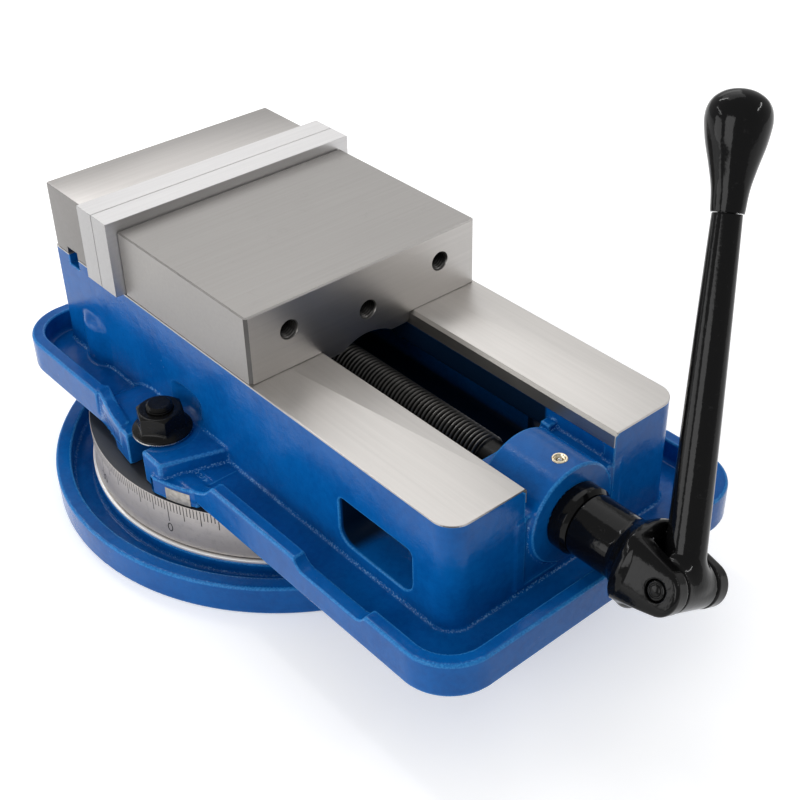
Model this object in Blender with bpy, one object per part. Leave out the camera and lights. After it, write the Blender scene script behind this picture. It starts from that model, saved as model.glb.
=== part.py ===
"""Swivel milling vise: a 6 inch angle-lock machine vise on a graduated swivel base.

Frame: metres, +Z up, origin on the swivel axis at the underside of the base. -Y is the operator's side with
the crank, +Y the fixed jaw, +X to the operator's right. The jaws are closed and the crank leans on its stop.
Every outline is written in world place; seats (matrices) turn an outline that is extruded along X or Y.
"""

import math

import bmesh
import bpy
import numpy as np
from mathutils import Matrix, Vector

MM = 0.001

# Clearances
GAP = 0.3 * MM  # between pieces that rest on each other or are screwed together
RUN = 0.05 * MM  # radial clearance of a running fit

# Swivel base
BASE_RIM_WIDTH = 8.3 * MM
BASE_TROUGH_WIDTH = 11.65 * MM  # between the drum's shoulder and the rim
BASE_RIM_TOP = 17.0 * MM
BASE_TROUGH = 7.0 * MM  # height of the trough's floor inside the rim
FOOT_WIDTH = 17.0 * MM
FOOT_RECESS = 5.0 * MM
HUB_FOOT_RADIUS = 45.0 * MM
DRUM_RADIUS = 110.75 * MM
DRUM_BOTTOM = 17.6 * MM
DRUM_TOP = 42.2 * MM
DRUM_EDGE = 0.5 * MM
UNDERCUT_DEPTH = 2.0 * MM
UNDERCUT_HEIGHT = 1.6 * MM
SHOULDER_WIDTH = 1.7 * MM
BASE_RADIUS = DRUM_RADIUS + SHOULDER_WIDTH + BASE_TROUGH_WIDTH + BASE_RIM_WIDTH
HOLD_SLOT_WIDTH = 13.5 * MM
HOLD_SLOT_SETBACK = 10.9 * MM  # from the rim to where a hold-down bolt stands
HOLD_SLOT_RADIUS = BASE_RADIUS - HOLD_SLOT_SETBACK
HOLD_PAD_HALF = 17.0 * MM
PIVOT_RADIUS = 12.0 * MM
PIVOT_BOTTOM = 14.0 * MM
PIVOT_STAND = 13.0 * MM  # how far the pivot stands above the drum

# Clamp studs, nuts and the circular T-slot they stand in
STUD_SETBACK = 24.25 * MM  # from the drum's wall
STUD_X = DRUM_RADIUS - STUD_SETBACK
STUD_Y = -6.9 * MM
STUD_RADIUS = 6.35 * MM
T_LIP = 10.0 * MM
T_CAVITY = 10.0 * MM
T_NECK_WIDTH = 14.4 * MM
T_CAVITY_WIDTH = 24.4 * MM
T_HEAD_LENGTH = 20.0 * MM
T_HEAD_SIDE = 1.4 * MM  # radial play of the stud's head in the groove
T_HEAD_HEIGHT = 9.0 * MM
T_ENTRY_SIDE = 1.2 * MM
NUT_FLANGE_RADIUS = 15.2 * MM
NUT_FLANGE_HEIGHT = 3.0 * MM
NUT_ACROSS_FLATS = 22.2 * MM
NUT_HEIGHT = 13.2 * MM
STUD_ABOVE_NUT = 3.2 * MM

# Vise body: rails and tray
RAIL_TOP = 112.2 * MM
BODY_HALF = 70.9 * MM
RAIL_FRONT = -205.6 * MM
BODY_BACK = 113.5 * MM
RAIL_CORNER = 11.0 * MM
BACK_CORNER = 2.0 * MM
CHANNEL_HALF = 27.4 * MM
CHANNEL_BAND = 8.1 * MM  # depth of the machined inner faces
CHANNEL_RELIEF = 1.4 * MM
CHANNEL_BACK = 52.0 * MM
RAIL_CHAMFER = 1.6 * MM
CAVITY_WALL = 12.5 * MM
CAVITY_FLOOR = 57.0 * MM
CAVITY_TOP = 90.0 * MM
CAVITY_FRONT = -158.0 * MM
CAVITY_BACK = 40.0 * MM
WINDOW = (-181.0 * MM, -131.3 * MM, 60.4 * MM, 85.8 * MM)  # y from, y to, z from, z to
WINDOW_LOW_CORNER = 7.4 * MM
WINDOW_HIGH_CORNER = 3.2 * MM
TRAY_HALF = 98.1 * MM
TRAY_FRONT = -232.5 * MM
TRAY_BACK = 127.4 * MM
TRAY_BOTTOM = 46.8 * MM
TRAY_FLOOR = 52.8 * MM
TRAY_RIM = 65.5 * MM
TRAY_RIM_WIDTH = 7.2 * MM
TRAY_CORNER_FRONT = 26.0 * MM
TRAY_CORNER_BACK = 28.0 * MM
CAST_FILLET = 3.0 * MM
SEAT_SETBACK = 9.75 * MM
SEAT_RADIUS = DRUM_RADIUS - SEAT_SETBACK  # the body's round seat on the drum
BOLT_BOSS_RADIUS = 17.5 * MM
BOLT_BOSS_TOP = 80.0 * MM

# Clamping lugs
LUG_PAD = 61.2 * MM
SPOT_FACE = 0.4 * MM  # how deep the nut's seat is cut into the pad
LUG_WALL = 17.8 * MM  # from the stud to the lug's outer side
LUG_OUT = STUD_X + LUG_WALL
LEDGE_FRONT = -52.0 * MM
LUG_FRONT = -31.4 * MM
LUG_BACK = 47.0 * MM
LUG_RAMP = 13.0 * MM
LUG_SLOT_WIDTH = 15.6 * MM
NUT_POCKET_RADIUS = 20.0 * MM
NUT_POCKET_TOP = 79.0 * MM
RIM_RAMP = 17.0 * MM
INDEX_ANGLE = math.radians(202.05)
INDEX_WIDTH = 14.4 * MM
INDEX_HEIGHT = 7.5 * MM
INDEX_THICK = 1.4 * MM
INDEX_SETBACK = 0.65 * MM  # behind the drum's wall
INDEX_RADIUS = DRUM_RADIUS - INDEX_SETBACK
INDEX_SCREW_RADIUS = 1.1 * MM

# Screw, its boss and bearing
SCREW_Z = 83.6 * MM
SCREW_RADIUS = 10.6 * MM
SCREW_PITCH = 2.5 * MM
SCREW_BACK = 46.0 * MM
THREAD_FRONT = -153.9 * MM
NECK_RADIUS = 9.5 * MM
BOSS_RADIUS = 25.3 * MM
BOSS_FRONT = -207.7 * MM
BOSS_BACK = -172.4 * MM
WEB_TOP = 95.0 * MM
WEB_BACK = -163.0 * MM
BEARING_RADIUS = 15.0 * MM
BEARING_THICK = 5.0 * MM
FLANGE_THICK = 5.0 * MM
CAP_RADIUS = 16.5 * MM
CAP_LENGTH = 9.0 * MM
CAP_SPIGOT = 3.0 * MM
OIL_Y = -198.1 * MM
OIL_RADIUS = 3.7 * MM
OIL_DEPTH = 6.0 * MM
OIL_BALL_RADIUS = 1.3 * MM

# Crank: socket with its clevis, pin, arm and knob
SOCKET_RADIUS = 14.9 * MM
SOCKET_LENGTH = 23.4 * MM
SOCKET_CONE = 9.0 * MM
HEX_ACROSS_FLATS = 19.0 * MM
HEX_LENGTH = 17.0 * MM
PIN_Y = -269.6 * MM
PIN_RADIUS = 4.6 * MM
PIN_HEAD_RADIUS = 4.2 * MM
CLEVIS_TURN = math.radians(26.3)
CLEVIS_HALF = 20.2 * MM
CLEVIS_END = 10.9 * MM
CLEVIS_ROOT = 16.4 * MM
CLEVIS_ENVELOPE = 22.6 * MM
HUB_HALF = 11.7 * MM
HUB_SIDE = 0.3 * MM
HUB_RADIUS = 10.6 * MM
ARM_LEAN = math.radians(17.9)
ARM_ROOT_RADIUS = 8.8 * MM
ARM_END_RADIUS = 6.35 * MM
ARM_LENGTH = 153.5 * MM
KNOB_NECK_RADIUS = 6.9 * MM
KNOB_RADIUS = 13.8 * MM
KNOB_LENGTH = 50.0 * MM
KNOB_SHANK_RADIUS = 4.0 * MM
KNOB_SHANK_LENGTH = 12.0 * MM

# Jaws
JAW_LINE = 55.1 * MM  # where the two jaw plates meet
JAW_HALF = BODY_HALF - 0.4 * MM
PLATE_OVERHANG = 5.3 * MM  # past the body's sides
PLATE_HALF = BODY_HALF + PLATE_OVERHANG
PLATE_THICK = 13.8 * MM
PLATE_HEIGHT = 41.7 * MM
PLATE_FOOT = 0.7 * MM  # height of its lower edge above the rails
PLATE_SCREW_INSET = 25.4 * MM  # from the plate's ends
PLATE_SCREW_X = PLATE_HALF - PLATE_SCREW_INSET
PLATE_SCREW_RISE = 21.0 * MM
FIXED_JAW_DEPTH = 41.6 * MM
FIXED_JAW_HEIGHT = 38.2 * MM
MOVING_JAW_LENGTH = 109.0 * MM
MOVING_JAW_HEIGHT = 36.7 * MM
JAW_CHAMFER = 1.5 * MM
KEY_FROM_BACK = 12.2 * MM
KEY_WIDTH = 9.2 * MM
KEY_IN_JAW = 4.0 * MM
KEY_IN_BODY = 6.0 * MM
KEY_HALF = 61.0 * MM
TONGUE_DEPTH = 6.5 * MM
TONGUE_ARCH_RADIUS = 26.9 * MM
TONGUE_ARCH_RISE = 1.7 * MM  # how far the arch's crown stays below the rail top
TONGUE_CORNER = 3.0 * MM
REAR_HOLE_INSET = 23.7 * MM  # from the jaw's sides
REAR_HOLE_X = JAW_HALF - REAR_HOLE_INSET
REAR_HOLE_RISE = 21.2 * MM
REAR_HOLE_MIDDLE_RISE = 12.4 * MM
REAR_HOLE_RADIUS = 4.4 * MM
REAR_HOLE_DEPTH = 22.0 * MM
REAR_HOLE_CHAMFER = 0.8 * MM

# Nut block and pull-down segment under the moving jaw
NUT_HALF = 21.0 * MM
NUT_BOTTOM = 65.0 * MM
NUT_TOP = 103.4 * MM
NUT_FRONT = -12.0 * MM
NUT_BACK = 34.0 * MM
HORN_HALF = 11.0 * MM
HORN_REAR = -14.0 * MM
HORN_TOP = 131.0 * MM
SEGMENT_Y = 14.0 * MM
SEGMENT_Z = 117.0 * MM
SEGMENT_RADIUS = 9.5 * MM
POCKET_SIDE = 1.0 * MM
POCKET_REAR = -24.0 * MM
SET_SCREW_RADIUS = 4.1 * MM
SET_SCREW_LENGTH = 14.0 * MM

# Socket-head screws: head radius, head height, shank radius, hexagon across flats
M8 = (6.5 * MM, 8.0 * MM, 4.0 * MM, 6.0 * MM)
M12 = (9.0 * MM, 12.0 * MM, 6.0 * MM, 10.0 * MM)
PLATE_SCREW_LENGTH = 19.0 * MM
JAW_BOLT_INSET = 12.9 * MM  # from the body's sides
JAW_BOLT_X = BODY_HALF - JAW_BOLT_INSET
JAW_BOLT_SETBACK = 13.0 * MM  # from the fixed jaw's front
JAW_BOLT_LENGTH = 55.0 * MM
JAW_BOLT_REACH = 13.0 * MM  # how far it enters the fixed jaw
HEAD_SIDE = 0.5 * MM

SEAT_X = Matrix(((0, 0, 1, 0), (1, 0, 0, 0), (0, 1, 0, 0), (0, 0, 0, 1)))  # an outline of (y, z), along +X
SEAT_Y = Matrix(((0, 1, 0, 0), (0, 0, 1, 0), (1, 0, 0, 0), (0, 0, 0, 1)))  # an outline of (z, x), along +Y


def clear_scene():
    """Remove every object of the scene that the script starts in."""
    for item in list(bpy.data.objects):
        bpy.data.objects.remove(item, do_unlink=True)


def finish(name, colour, roughness, metallic):
    """A Principled material."""
    made = bpy.data.materials.new(name)
    made.use_nodes = True
    shader = made.node_tree.nodes["Principled BSDF"]
    shader.inputs["Base Color"].default_value = (*colour, 1.0)
    shader.inputs["Roughness"].default_value = roughness
    shader.inputs["Metallic"].default_value = metallic
    return made


def solid(name, points, faces, material=None, origin=(0.0, 0.0, 0.0)):
    """A closed mesh object from world points, with its origin at the given place and its faces turned outwards."""
    mesh = bpy.data.meshes.new(name)
    shifted = np.asarray(points, dtype=float) - np.asarray(origin, dtype=float)
    mesh.from_pydata(shifted.tolist(), [], [list(face) for face in faces])
    work = bmesh.new()
    work.from_mesh(mesh)
    bmesh.ops.remove_doubles(work, verts=work.verts, dist=1e-7)
    bmesh.ops.recalc_face_normals(work, faces=work.faces)
    work.to_mesh(mesh)
    work.free()
    made = bpy.data.objects.new(name, mesh)
    made.location = origin
    bpy.context.scene.collection.objects.link(made)
    if material is not None:
        mesh.materials.append(material)
    return made


def loft(name, rings, material=None, seat=None, origin=(0.0, 0.0, 0.0)):
    """A closed solid through rings of equal length, each an array of (x, y, z) points in the seat's own frame."""
    rings = [np.asarray(ring, dtype=float) for ring in rings]
    count = len(rings[0])
    points = np.concatenate(rings)
    if seat is not None:
        turn = np.array(seat)
        points = points @ turn[:3, :3].T + turn[:3, 3]
    faces = []
    for level in range(len(rings) - 1):
        low, high = level * count, (level + 1) * count
        for k in range(count):
            after = (k + 1) % count
            faces.append((low + k, low + after, high + after, high + k))
    faces.append(tuple(reversed(range(count))))
    faces.append(tuple(range((len(rings) - 1) * count, len(rings) * count)))
    return solid(name, points, faces, material, origin)


def prism(name, outline, low, high, material=None, seat=None, origin=(0.0, 0.0, 0.0)):
    """An outline extruded from low to high; either may be one height or a height for each point."""
    outline = np.asarray(outline, dtype=float)
    rings = [np.column_stack([outline, np.broadcast_to(level, len(outline))]) for level in (low, high)]
    made = loft(name, rings, material, seat, origin)
    if np.ndim(low) or np.ndim(high):
        work = bmesh.new()
        work.from_mesh(made.data)
        bmesh.ops.triangulate(work, faces=work.faces)
        work.to_mesh(made.data)
        work.free()
    return made


def block(name, low, high, material=None, origin=(0.0, 0.0, 0.0)):
    """A box from its low corner to its high corner."""
    outline = [(low[0], low[1]), (high[0], low[1]), (high[0], high[1]), (low[0], high[1])]
    return prism(name, outline, low[2], high[2], material, origin=origin)


def turned(name, profile, material=None, seat=None, segments=32, origin=(0.0, 0.0, 0.0)):
    """A revolved solid from (radius, height) pairs about the seat's own Z.

    A profile that starts and ends on the axis makes a full solid, and one that stays off it makes a ring.
    """
    profile = np.asarray(profile, dtype=float)
    angle = np.linspace(0.0, 2.0 * math.pi, segments, endpoint=False)
    points = []
    index = []
    for radius, height in profile:
        if radius < 1e-9:
            index.append([len(points)] * segments)
            points.append((0.0, 0.0, height))
        else:
            index.append(list(range(len(points), len(points) + segments)))
            points.extend(zip(radius * np.cos(angle), radius * np.sin(angle), [height] * segments))
    full = profile[0][0] < 1e-9 and profile[-1][0] < 1e-9
    faces = []
    for step in range(len(profile) - 1 if full else len(profile)):
        after_step = (step + 1) % len(profile)
        low, high = index[step], index[after_step]
        flat = abs(profile[step][1] - profile[after_step][1]) < 1e-9
        if flat and len(set(low)) == 1:
            faces.append(tuple(high))
            continue
        if flat and len(set(high)) == 1:
            faces.append(tuple(low))
            continue
        for k in range(segments):
            after = (k + 1) % segments
            face = list(dict.fromkeys((low[k], low[after], high[after], high[k])))
            if len(face) > 2:
                faces.append(face)
    used = sorted({k for face in faces for k in face})
    place = {old: new for new, old in enumerate(used)}
    faces = [[place[k] for k in face] for face in faces]
    points = np.array(points)[used]
    if seat is not None:
        turn = np.array(seat)
        points = points @ turn[:3, :3].T + turn[:3, 3]
    made = solid(name, points, faces, material, origin)
    made.data.shade_smooth()
    made.data.set_sharp_from_angle(angle=math.radians(32.0))
    return made


def helper(item):
    """Hide a cutter or a shape to be joined."""
    item.hide_render = True
    item.display_type = "WIRE"
    return item


def combine(target, tool, operation):
    """Add an exact Boolean modifier to the target, with the tool hidden."""
    made = target.modifiers.new(f"{operation.lower()} {tool.name}", "BOOLEAN")
    made.operation = operation
    made.solver = "EXACT"
    made.object = helper(tool)
    return target


def cut(target, *tools):
    """Cut each tool from the target."""
    for tool in tools:
        combine(target, tool, "DIFFERENCE")
    return target


def join(target, *tools):
    """Join each tool to the target."""
    for tool in tools:
        combine(target, tool, "UNION")
    return target


def arc(centre, radius, start, end, steps):
    """Points on an arc, in degrees."""
    angle = np.radians(np.linspace(start, end, steps))
    return [(centre[0] + radius * math.cos(a), centre[1] + radius * math.sin(a)) for a in angle]


def rounded(left, right, front, back, corners, inset=0.0, steps=7):
    """A rectangle's outline with a radius for each corner (front left, front right, back right, back left)."""
    left, right, front, back = left + inset, right - inset, front + inset, back - inset
    radii = [max(corner - inset, 1e-5) for corner in corners]
    outline = arc((left + radii[0], front + radii[0]), radii[0], 180, 270, steps)
    outline += arc((right - radii[1], front + radii[1]), radii[1], 270, 360, steps)
    outline += arc((right - radii[2], back - radii[2]), radii[2], 0, 90, steps)
    outline += arc((left + radii[3], back - radii[3]), radii[3], 90, 180, steps)
    return np.array(outline)


def stacked(name, outline_at, levels, material=None, origin=(0.0, 0.0, 0.0)):
    """A loft whose outline at each (height, inset) level is outline_at(inset)."""
    rings = []
    for height, inset in levels:
        outline = outline_at(inset)
        rings.append(np.column_stack([outline, np.full(len(outline), height)]))
    return loft(name, rings, material, origin=origin)


def hexagon(across_flats, centre=(0.0, 0.0), turn=0.0):
    """A hexagon's outline."""
    radius = across_flats / math.sqrt(3.0)
    return [
        (centre[0] + radius * math.cos(turn + k * math.pi / 3), centre[1] + radius * math.sin(turn + k * math.pi / 3))
        for k in range(6)
    ]


def along_y(x, y, z, towards=-1.0):
    """A seat whose own Z runs along -Y or +Y from the given place, with its own X up."""
    axis = Vector((0.0, towards, 0.0))
    up = Vector((0.0, 0.0, 1.0))
    return frame_of(Vector((x, y, z)), up, axis)


def frame_of(place, first, third):
    """A seat at a place with its own X and Z along the given directions."""
    second = third.cross(first)
    return Matrix((
        (first.x, second.x, third.x, place.x),
        (first.y, second.y, third.y, place.y),
        (first.z, second.z, third.z, place.z),
        (0.0, 0.0, 0.0, 1.0),
    ))


def cap_screw(name, kind, length, seat, material, origin):
    """A socket-head screw: its head's underside lies at the seat, its shank runs along the seat's own -Z."""
    head, height, shank, flats = kind
    edge = 0.6 * MM
    profile = [
        (0.0, -length), (shank - edge, -length), (shank, -length + edge), (shank, 0.0), (head, 0.0),
        (head, height - edge), (head - edge, height), (0.0, height),
    ]
    made = turned(name, profile, material, seat, 20, origin)
    recess = prism(f"{name}_hexagon", hexagon(flats), height * 0.45, height + 1.0 * MM, seat=seat, origin=origin)
    return cut(made, recess)


def screw_hole(name, kind, length, head_room, seat):
    """The cutter for a socket-head screw: a counterbore over the seat and a clearance hole below it."""
    head, _, shank, _ = kind
    profile = [
        (0.0, -length - 1.0 * MM), (shank + GAP, -length - 1.0 * MM), (shank + GAP, -GAP), (head + HEAD_SIDE, -GAP),
        (head + HEAD_SIDE, head_room), (0.0, head_room),
    ]
    return turned(name, profile, seat=seat, segments=20)


def mirror_points(outline):
    """The outline on the other side of the YZ plane, in the same turning sense."""
    return [(-x, y) for x, y in reversed(outline)]


def build_base(materials):
    """The swivel base: rim, trough, graduated drum with its circular T-slot, and the pivot pin."""
    slot_radius = math.hypot(STUD_X, STUD_Y)
    neck = T_NECK_WIDTH / 2
    wide = T_CAVITY_WIDTH / 2
    lip = DRUM_TOP - T_LIP
    floor = lip - T_CAVITY
    rim_in = BASE_RADIUS - BASE_RIM_WIDTH
    shoulder = DRUM_RADIUS + SHOULDER_WIDTH
    shoulder_z = DRUM_BOTTOM - UNDERCUT_HEIGHT
    riser = arc((rim_in - 3.2 * MM, BASE_TROUGH + 9.0 * MM), 9.0 * MM, 270, 212, 5)
    profile = [
        (0.0, 0.0), (HUB_FOOT_RADIUS, 0.0), (HUB_FOOT_RADIUS + 2 * MM, FOOT_RECESS),
        (BASE_RADIUS - FOOT_WIDTH - 2 * MM, FOOT_RECESS), (BASE_RADIUS - FOOT_WIDTH, 0.0), (BASE_RADIUS - 0.8 * MM, 0.0),
        (BASE_RADIUS, 0.8 * MM), (BASE_RADIUS - 0.5 * MM, BASE_RIM_TOP - 1.4 * MM), (BASE_RADIUS - 0.9 * MM, BASE_RIM_TOP - 0.4 * MM),
        (BASE_RADIUS - 1.9 * MM, BASE_RIM_TOP), (rim_in + 1.0 * MM, BASE_RIM_TOP), (rim_in, BASE_RIM_TOP - 1.0 * MM),
        (rim_in - 0.6 * MM, BASE_TROUGH + 1.6 * MM), *riser, (shoulder, shoulder_z),
        (DRUM_RADIUS - UNDERCUT_DEPTH, shoulder_z), (DRUM_RADIUS - UNDERCUT_DEPTH, DRUM_BOTTOM), (DRUM_RADIUS, DRUM_BOTTOM),
        (DRUM_RADIUS, DRUM_TOP - DRUM_EDGE), (DRUM_RADIUS - DRUM_EDGE, DRUM_TOP), (slot_radius + neck, DRUM_TOP),
        (slot_radius + neck, lip), (slot_radius + wide, lip), (slot_radius + wide, floor), (slot_radius - wide, floor),
        (slot_radius - wide, lip), (slot_radius - neck, lip), (slot_radius - neck, DRUM_TOP),
        (PIVOT_RADIUS + 1.0 * MM, DRUM_TOP), (PIVOT_RADIUS + GAP, DRUM_TOP - 1.0 * MM), (PIVOT_RADIUS + GAP, PIVOT_BOTTOM),
        (0.0, PIVOT_BOTTOM),
    ]
    base = turned("swivel_base", profile, materials["blue"], segments=72)
    entry = turned(
        "t_slot_entry",
        [(0.0, floor + 0.5 * MM), (wide + T_ENTRY_SIDE, floor + 0.5 * MM), (wide + T_ENTRY_SIDE, DRUM_TOP + 1 * MM), (0.0, DRUM_TOP + 1 * MM)],
        seat=Matrix.Translation((0.0, slot_radius, 0.0)),
        segments=32,
    )
    for side, name in ((-1.0, "front"), (1.0, "back")):
        inner = side * (DRUM_RADIUS + SHOULDER_WIDTH + 0.6 * MM)
        outer = side * math.sqrt((BASE_RADIUS - 1.5 * MM) ** 2 - HOLD_PAD_HALF**2)
        pad = block(
            f"hold_down_pad_{name}",
            (-HOLD_PAD_HALF, min(inner, outer), BASE_TROUGH - 1 * MM),
            (HOLD_PAD_HALF, max(inner, outer), BASE_RIM_TOP - 0.6 * MM),
        )
        join(base, pad)
        centre = side * HOLD_SLOT_RADIUS
        half = HOLD_SLOT_WIDTH / 2
        open_end = arc((0.0, centre), half, 0, 180, 13) if side < 0 else arc((0.0, centre), half, 180, 360, 13)
        far = side * (BASE_RADIUS + 5 * MM)
        slot = open_end + [(open_end[-1][0], far), (open_end[0][0], far)]
        cut(base, prism(f"hold_down_slot_{name}", slot, -1 * MM, BASE_RIM_TOP + 1 * MM))
    cut(base, entry)
    top = DRUM_TOP + PIVOT_STAND
    edge = 1.0 * MM
    turned(
        "pivot_pin",
        [
            (0.0, PIVOT_BOTTOM + GAP), (PIVOT_RADIUS - edge, PIVOT_BOTTOM + GAP), (PIVOT_RADIUS, PIVOT_BOTTOM + GAP + edge),
            (PIVOT_RADIUS, top - edge), (PIVOT_RADIUS - edge, top), (0.0, top),
        ],
        materials["steel"],
        segments=32,
    )


def tray_outline(inset):
    """The tray's outer outline, moved inwards."""
    corners = (TRAY_CORNER_FRONT, TRAY_CORNER_FRONT, TRAY_CORNER_BACK, TRAY_CORNER_BACK)
    return rounded(-TRAY_HALF, TRAY_HALF, TRAY_FRONT, TRAY_BACK, corners, inset)


def core_outline(inset):
    """The outline of the rails and the seat of the fixed jaw, moved inwards."""
    corners = (RAIL_CORNER, RAIL_CORNER, BACK_CORNER, BACK_CORNER)
    return rounded(-BODY_HALF, BODY_HALF, RAIL_FRONT, BODY_BACK, corners, inset, 6)


def lug_shapes(side):
    """The shapes of one clamping lug: its blocks, its ramp's cutter, its shoulder, and the cutters for the stud and nut."""
    name = "left" if side < 0 else "right"
    seat_bottom = DRUM_TOP + GAP
    slot_front = STUD_Y - LUG_SLOT_WIDTH / 2
    slot_back = STUD_Y + LUG_SLOT_WIDTH / 2
    inner = BODY_HALF - 8 * MM
    flank = [(LUG_OUT + 0.3 * MM, slot_back + 2.2 * MM), (LUG_OUT, 10 * MM), (LUG_OUT - 1.9 * MM, 24 * MM), (TRAY_HALF - 0.1 * MM, 37 * MM)]
    lug = [
        (inner, LUG_FRONT - 13.6 * MM), (BODY_HALF + 0.5 * MM, LUG_FRONT - 10.6 * MM), (LUG_OUT - 2 * MM, LUG_FRONT - 0.6 * MM),
        (LUG_OUT - 0.6 * MM, LUG_FRONT), (LUG_OUT, LUG_FRONT + 1.6 * MM), (LUG_OUT + 0.2 * MM, slot_front),
        (LUG_OUT - 3.4 * MM, slot_back), *flank, (TRAY_HALF - 2 * MM, LUG_BACK), (inner, LUG_BACK),
    ]
    foot = [
        (inner, LUG_FRONT - 13.4 * MM), (BODY_HALF + 0.5 * MM, LUG_FRONT - 10.4 * MM), (LUG_OUT - 2.1 * MM, LUG_FRONT - 0.4 * MM),
        (LUG_OUT - 0.7 * MM, LUG_FRONT + 0.2 * MM), (LUG_OUT - 0.1 * MM, LUG_FRONT + 1.7 * MM), (LUG_OUT + 0.1 * MM, slot_front),
        (LUG_OUT - 3.5 * MM, slot_back), (LUG_OUT + 0.2 * MM, slot_back + 2.3 * MM), (LUG_OUT - 0.1 * MM, 10 * MM),
        (LUG_OUT - 1.4 * MM, 20 * MM), (inner, 20 * MM),
    ]
    start, end = math.atan2(LUG_FRONT - 1.4 * MM, -LUG_OUT), math.atan2(-49.1 * MM, -TRAY_HALF)
    ledge_radius = INDEX_RADIUS - 0.3 * MM
    ledge = [
        (inner, LUG_FRONT), (LUG_OUT - 4 * MM, LUG_FRONT + 2 * MM),
        *[(-ledge_radius * math.cos(a), ledge_radius * math.sin(a)) for a in np.linspace(start, end, 6)],
        (TRAY_HALF - 6 * MM, LEDGE_FRONT), (inner, LEDGE_FRONT),
    ]
    strip = [
        (TRAY_HALF - 0.1 * MM, 40 * MM), (TRAY_HALF - 0.1 * MM, 37 * MM), (LUG_OUT - 1.9 * MM, 24 * MM), (LUG_OUT, 10 * MM),
        (LUG_OUT - 8 * MM, 10 * MM), (LUG_OUT - 11 * MM, 24 * MM), (TRAY_HALF - TRAY_RIM_WIDTH - 1 * MM, 37 * MM),
        (TRAY_HALF - TRAY_RIM_WIDTH - 0.6 * MM, 40 * MM),
    ]
    crest = TRAY_RIM - 0.2 * MM
    end_top = LUG_PAD + 0.7 * MM
    strip_top = np.array([crest, crest, crest - 1.4 * MM, end_top, end_top, end_top, crest - 1 * MM, crest])
    if side < 0:
        turn = mirror_points
    else:
        turn = list
    pieces = [
        prism(f"lug_{name}", turn(lug), TRAY_BOTTOM + 0.5 * MM, LUG_PAD + SPOT_FACE),
        prism(f"lug_foot_{name}", turn(foot), seat_bottom, TRAY_FLOOR - 0.4 * MM),
        prism(f"lug_ledge_{name}", turn(ledge), seat_bottom + 0.02 * MM, TRAY_FLOOR + 0.05 * MM),
    ]
    shoulder = prism(f"lug_shoulder_{name}", turn(strip), TRAY_FLOOR - 1 * MM, strip_top[::-1] if side < 0 else strip_top)
    outer = side * (LUG_OUT + LUG_WALL + 3 * MM)
    stud = side * STUD_X
    mouth = arc((stud, STUD_Y), LUG_SLOT_WIDTH / 2, 90, 270, 13) if side > 0 else arc((stud, STUD_Y), LUG_SLOT_WIDTH / 2, -90, 90, 13)
    slot = mouth + [(outer, mouth[-1][1]), (outer, mouth[0][1])]
    pocket = turned(
        f"nut_pocket_{name}",
        [
            (0.0, LUG_PAD), (NUT_POCKET_RADIUS, LUG_PAD), (NUT_POCKET_RADIUS, NUT_POCKET_TOP - 6 * MM),
            (NUT_POCKET_RADIUS - 2 * MM, NUT_POCKET_TOP - 2 * MM), (NUT_POCKET_RADIUS - 6 * MM, NUT_POCKET_TOP), (0.0, NUT_POCKET_TOP),
        ],
        seat=Matrix.Translation((stud, STUD_Y, 0.0)),
        segments=40,
    )
    ramp = [
        (LUG_BACK - LUG_RAMP, LUG_PAD + SPOT_FACE), (LUG_BACK + 1 * MM, TRAY_FLOOR - 0.6 * MM), (LUG_BACK + 1 * MM, TRAY_RIM + 5 * MM),
        (LUG_BACK - LUG_RAMP, TRAY_RIM + 5 * MM),
    ]
    edge = TRAY_HALF - TRAY_RIM_WIDTH
    low, high = (BODY_HALF - 1 * MM, edge) if side > 0 else (-edge, -BODY_HALF + 1 * MM)
    slope = prism(f"lug_ramp_{name}", ramp, low, high, seat=SEAT_X)
    opening = prism(f"lug_slot_{name}", slot, seat_bottom - 5 * MM, TRAY_RIM + 5 * MM)
    return pieces, slope, shoulder, (opening, pocket)


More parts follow.
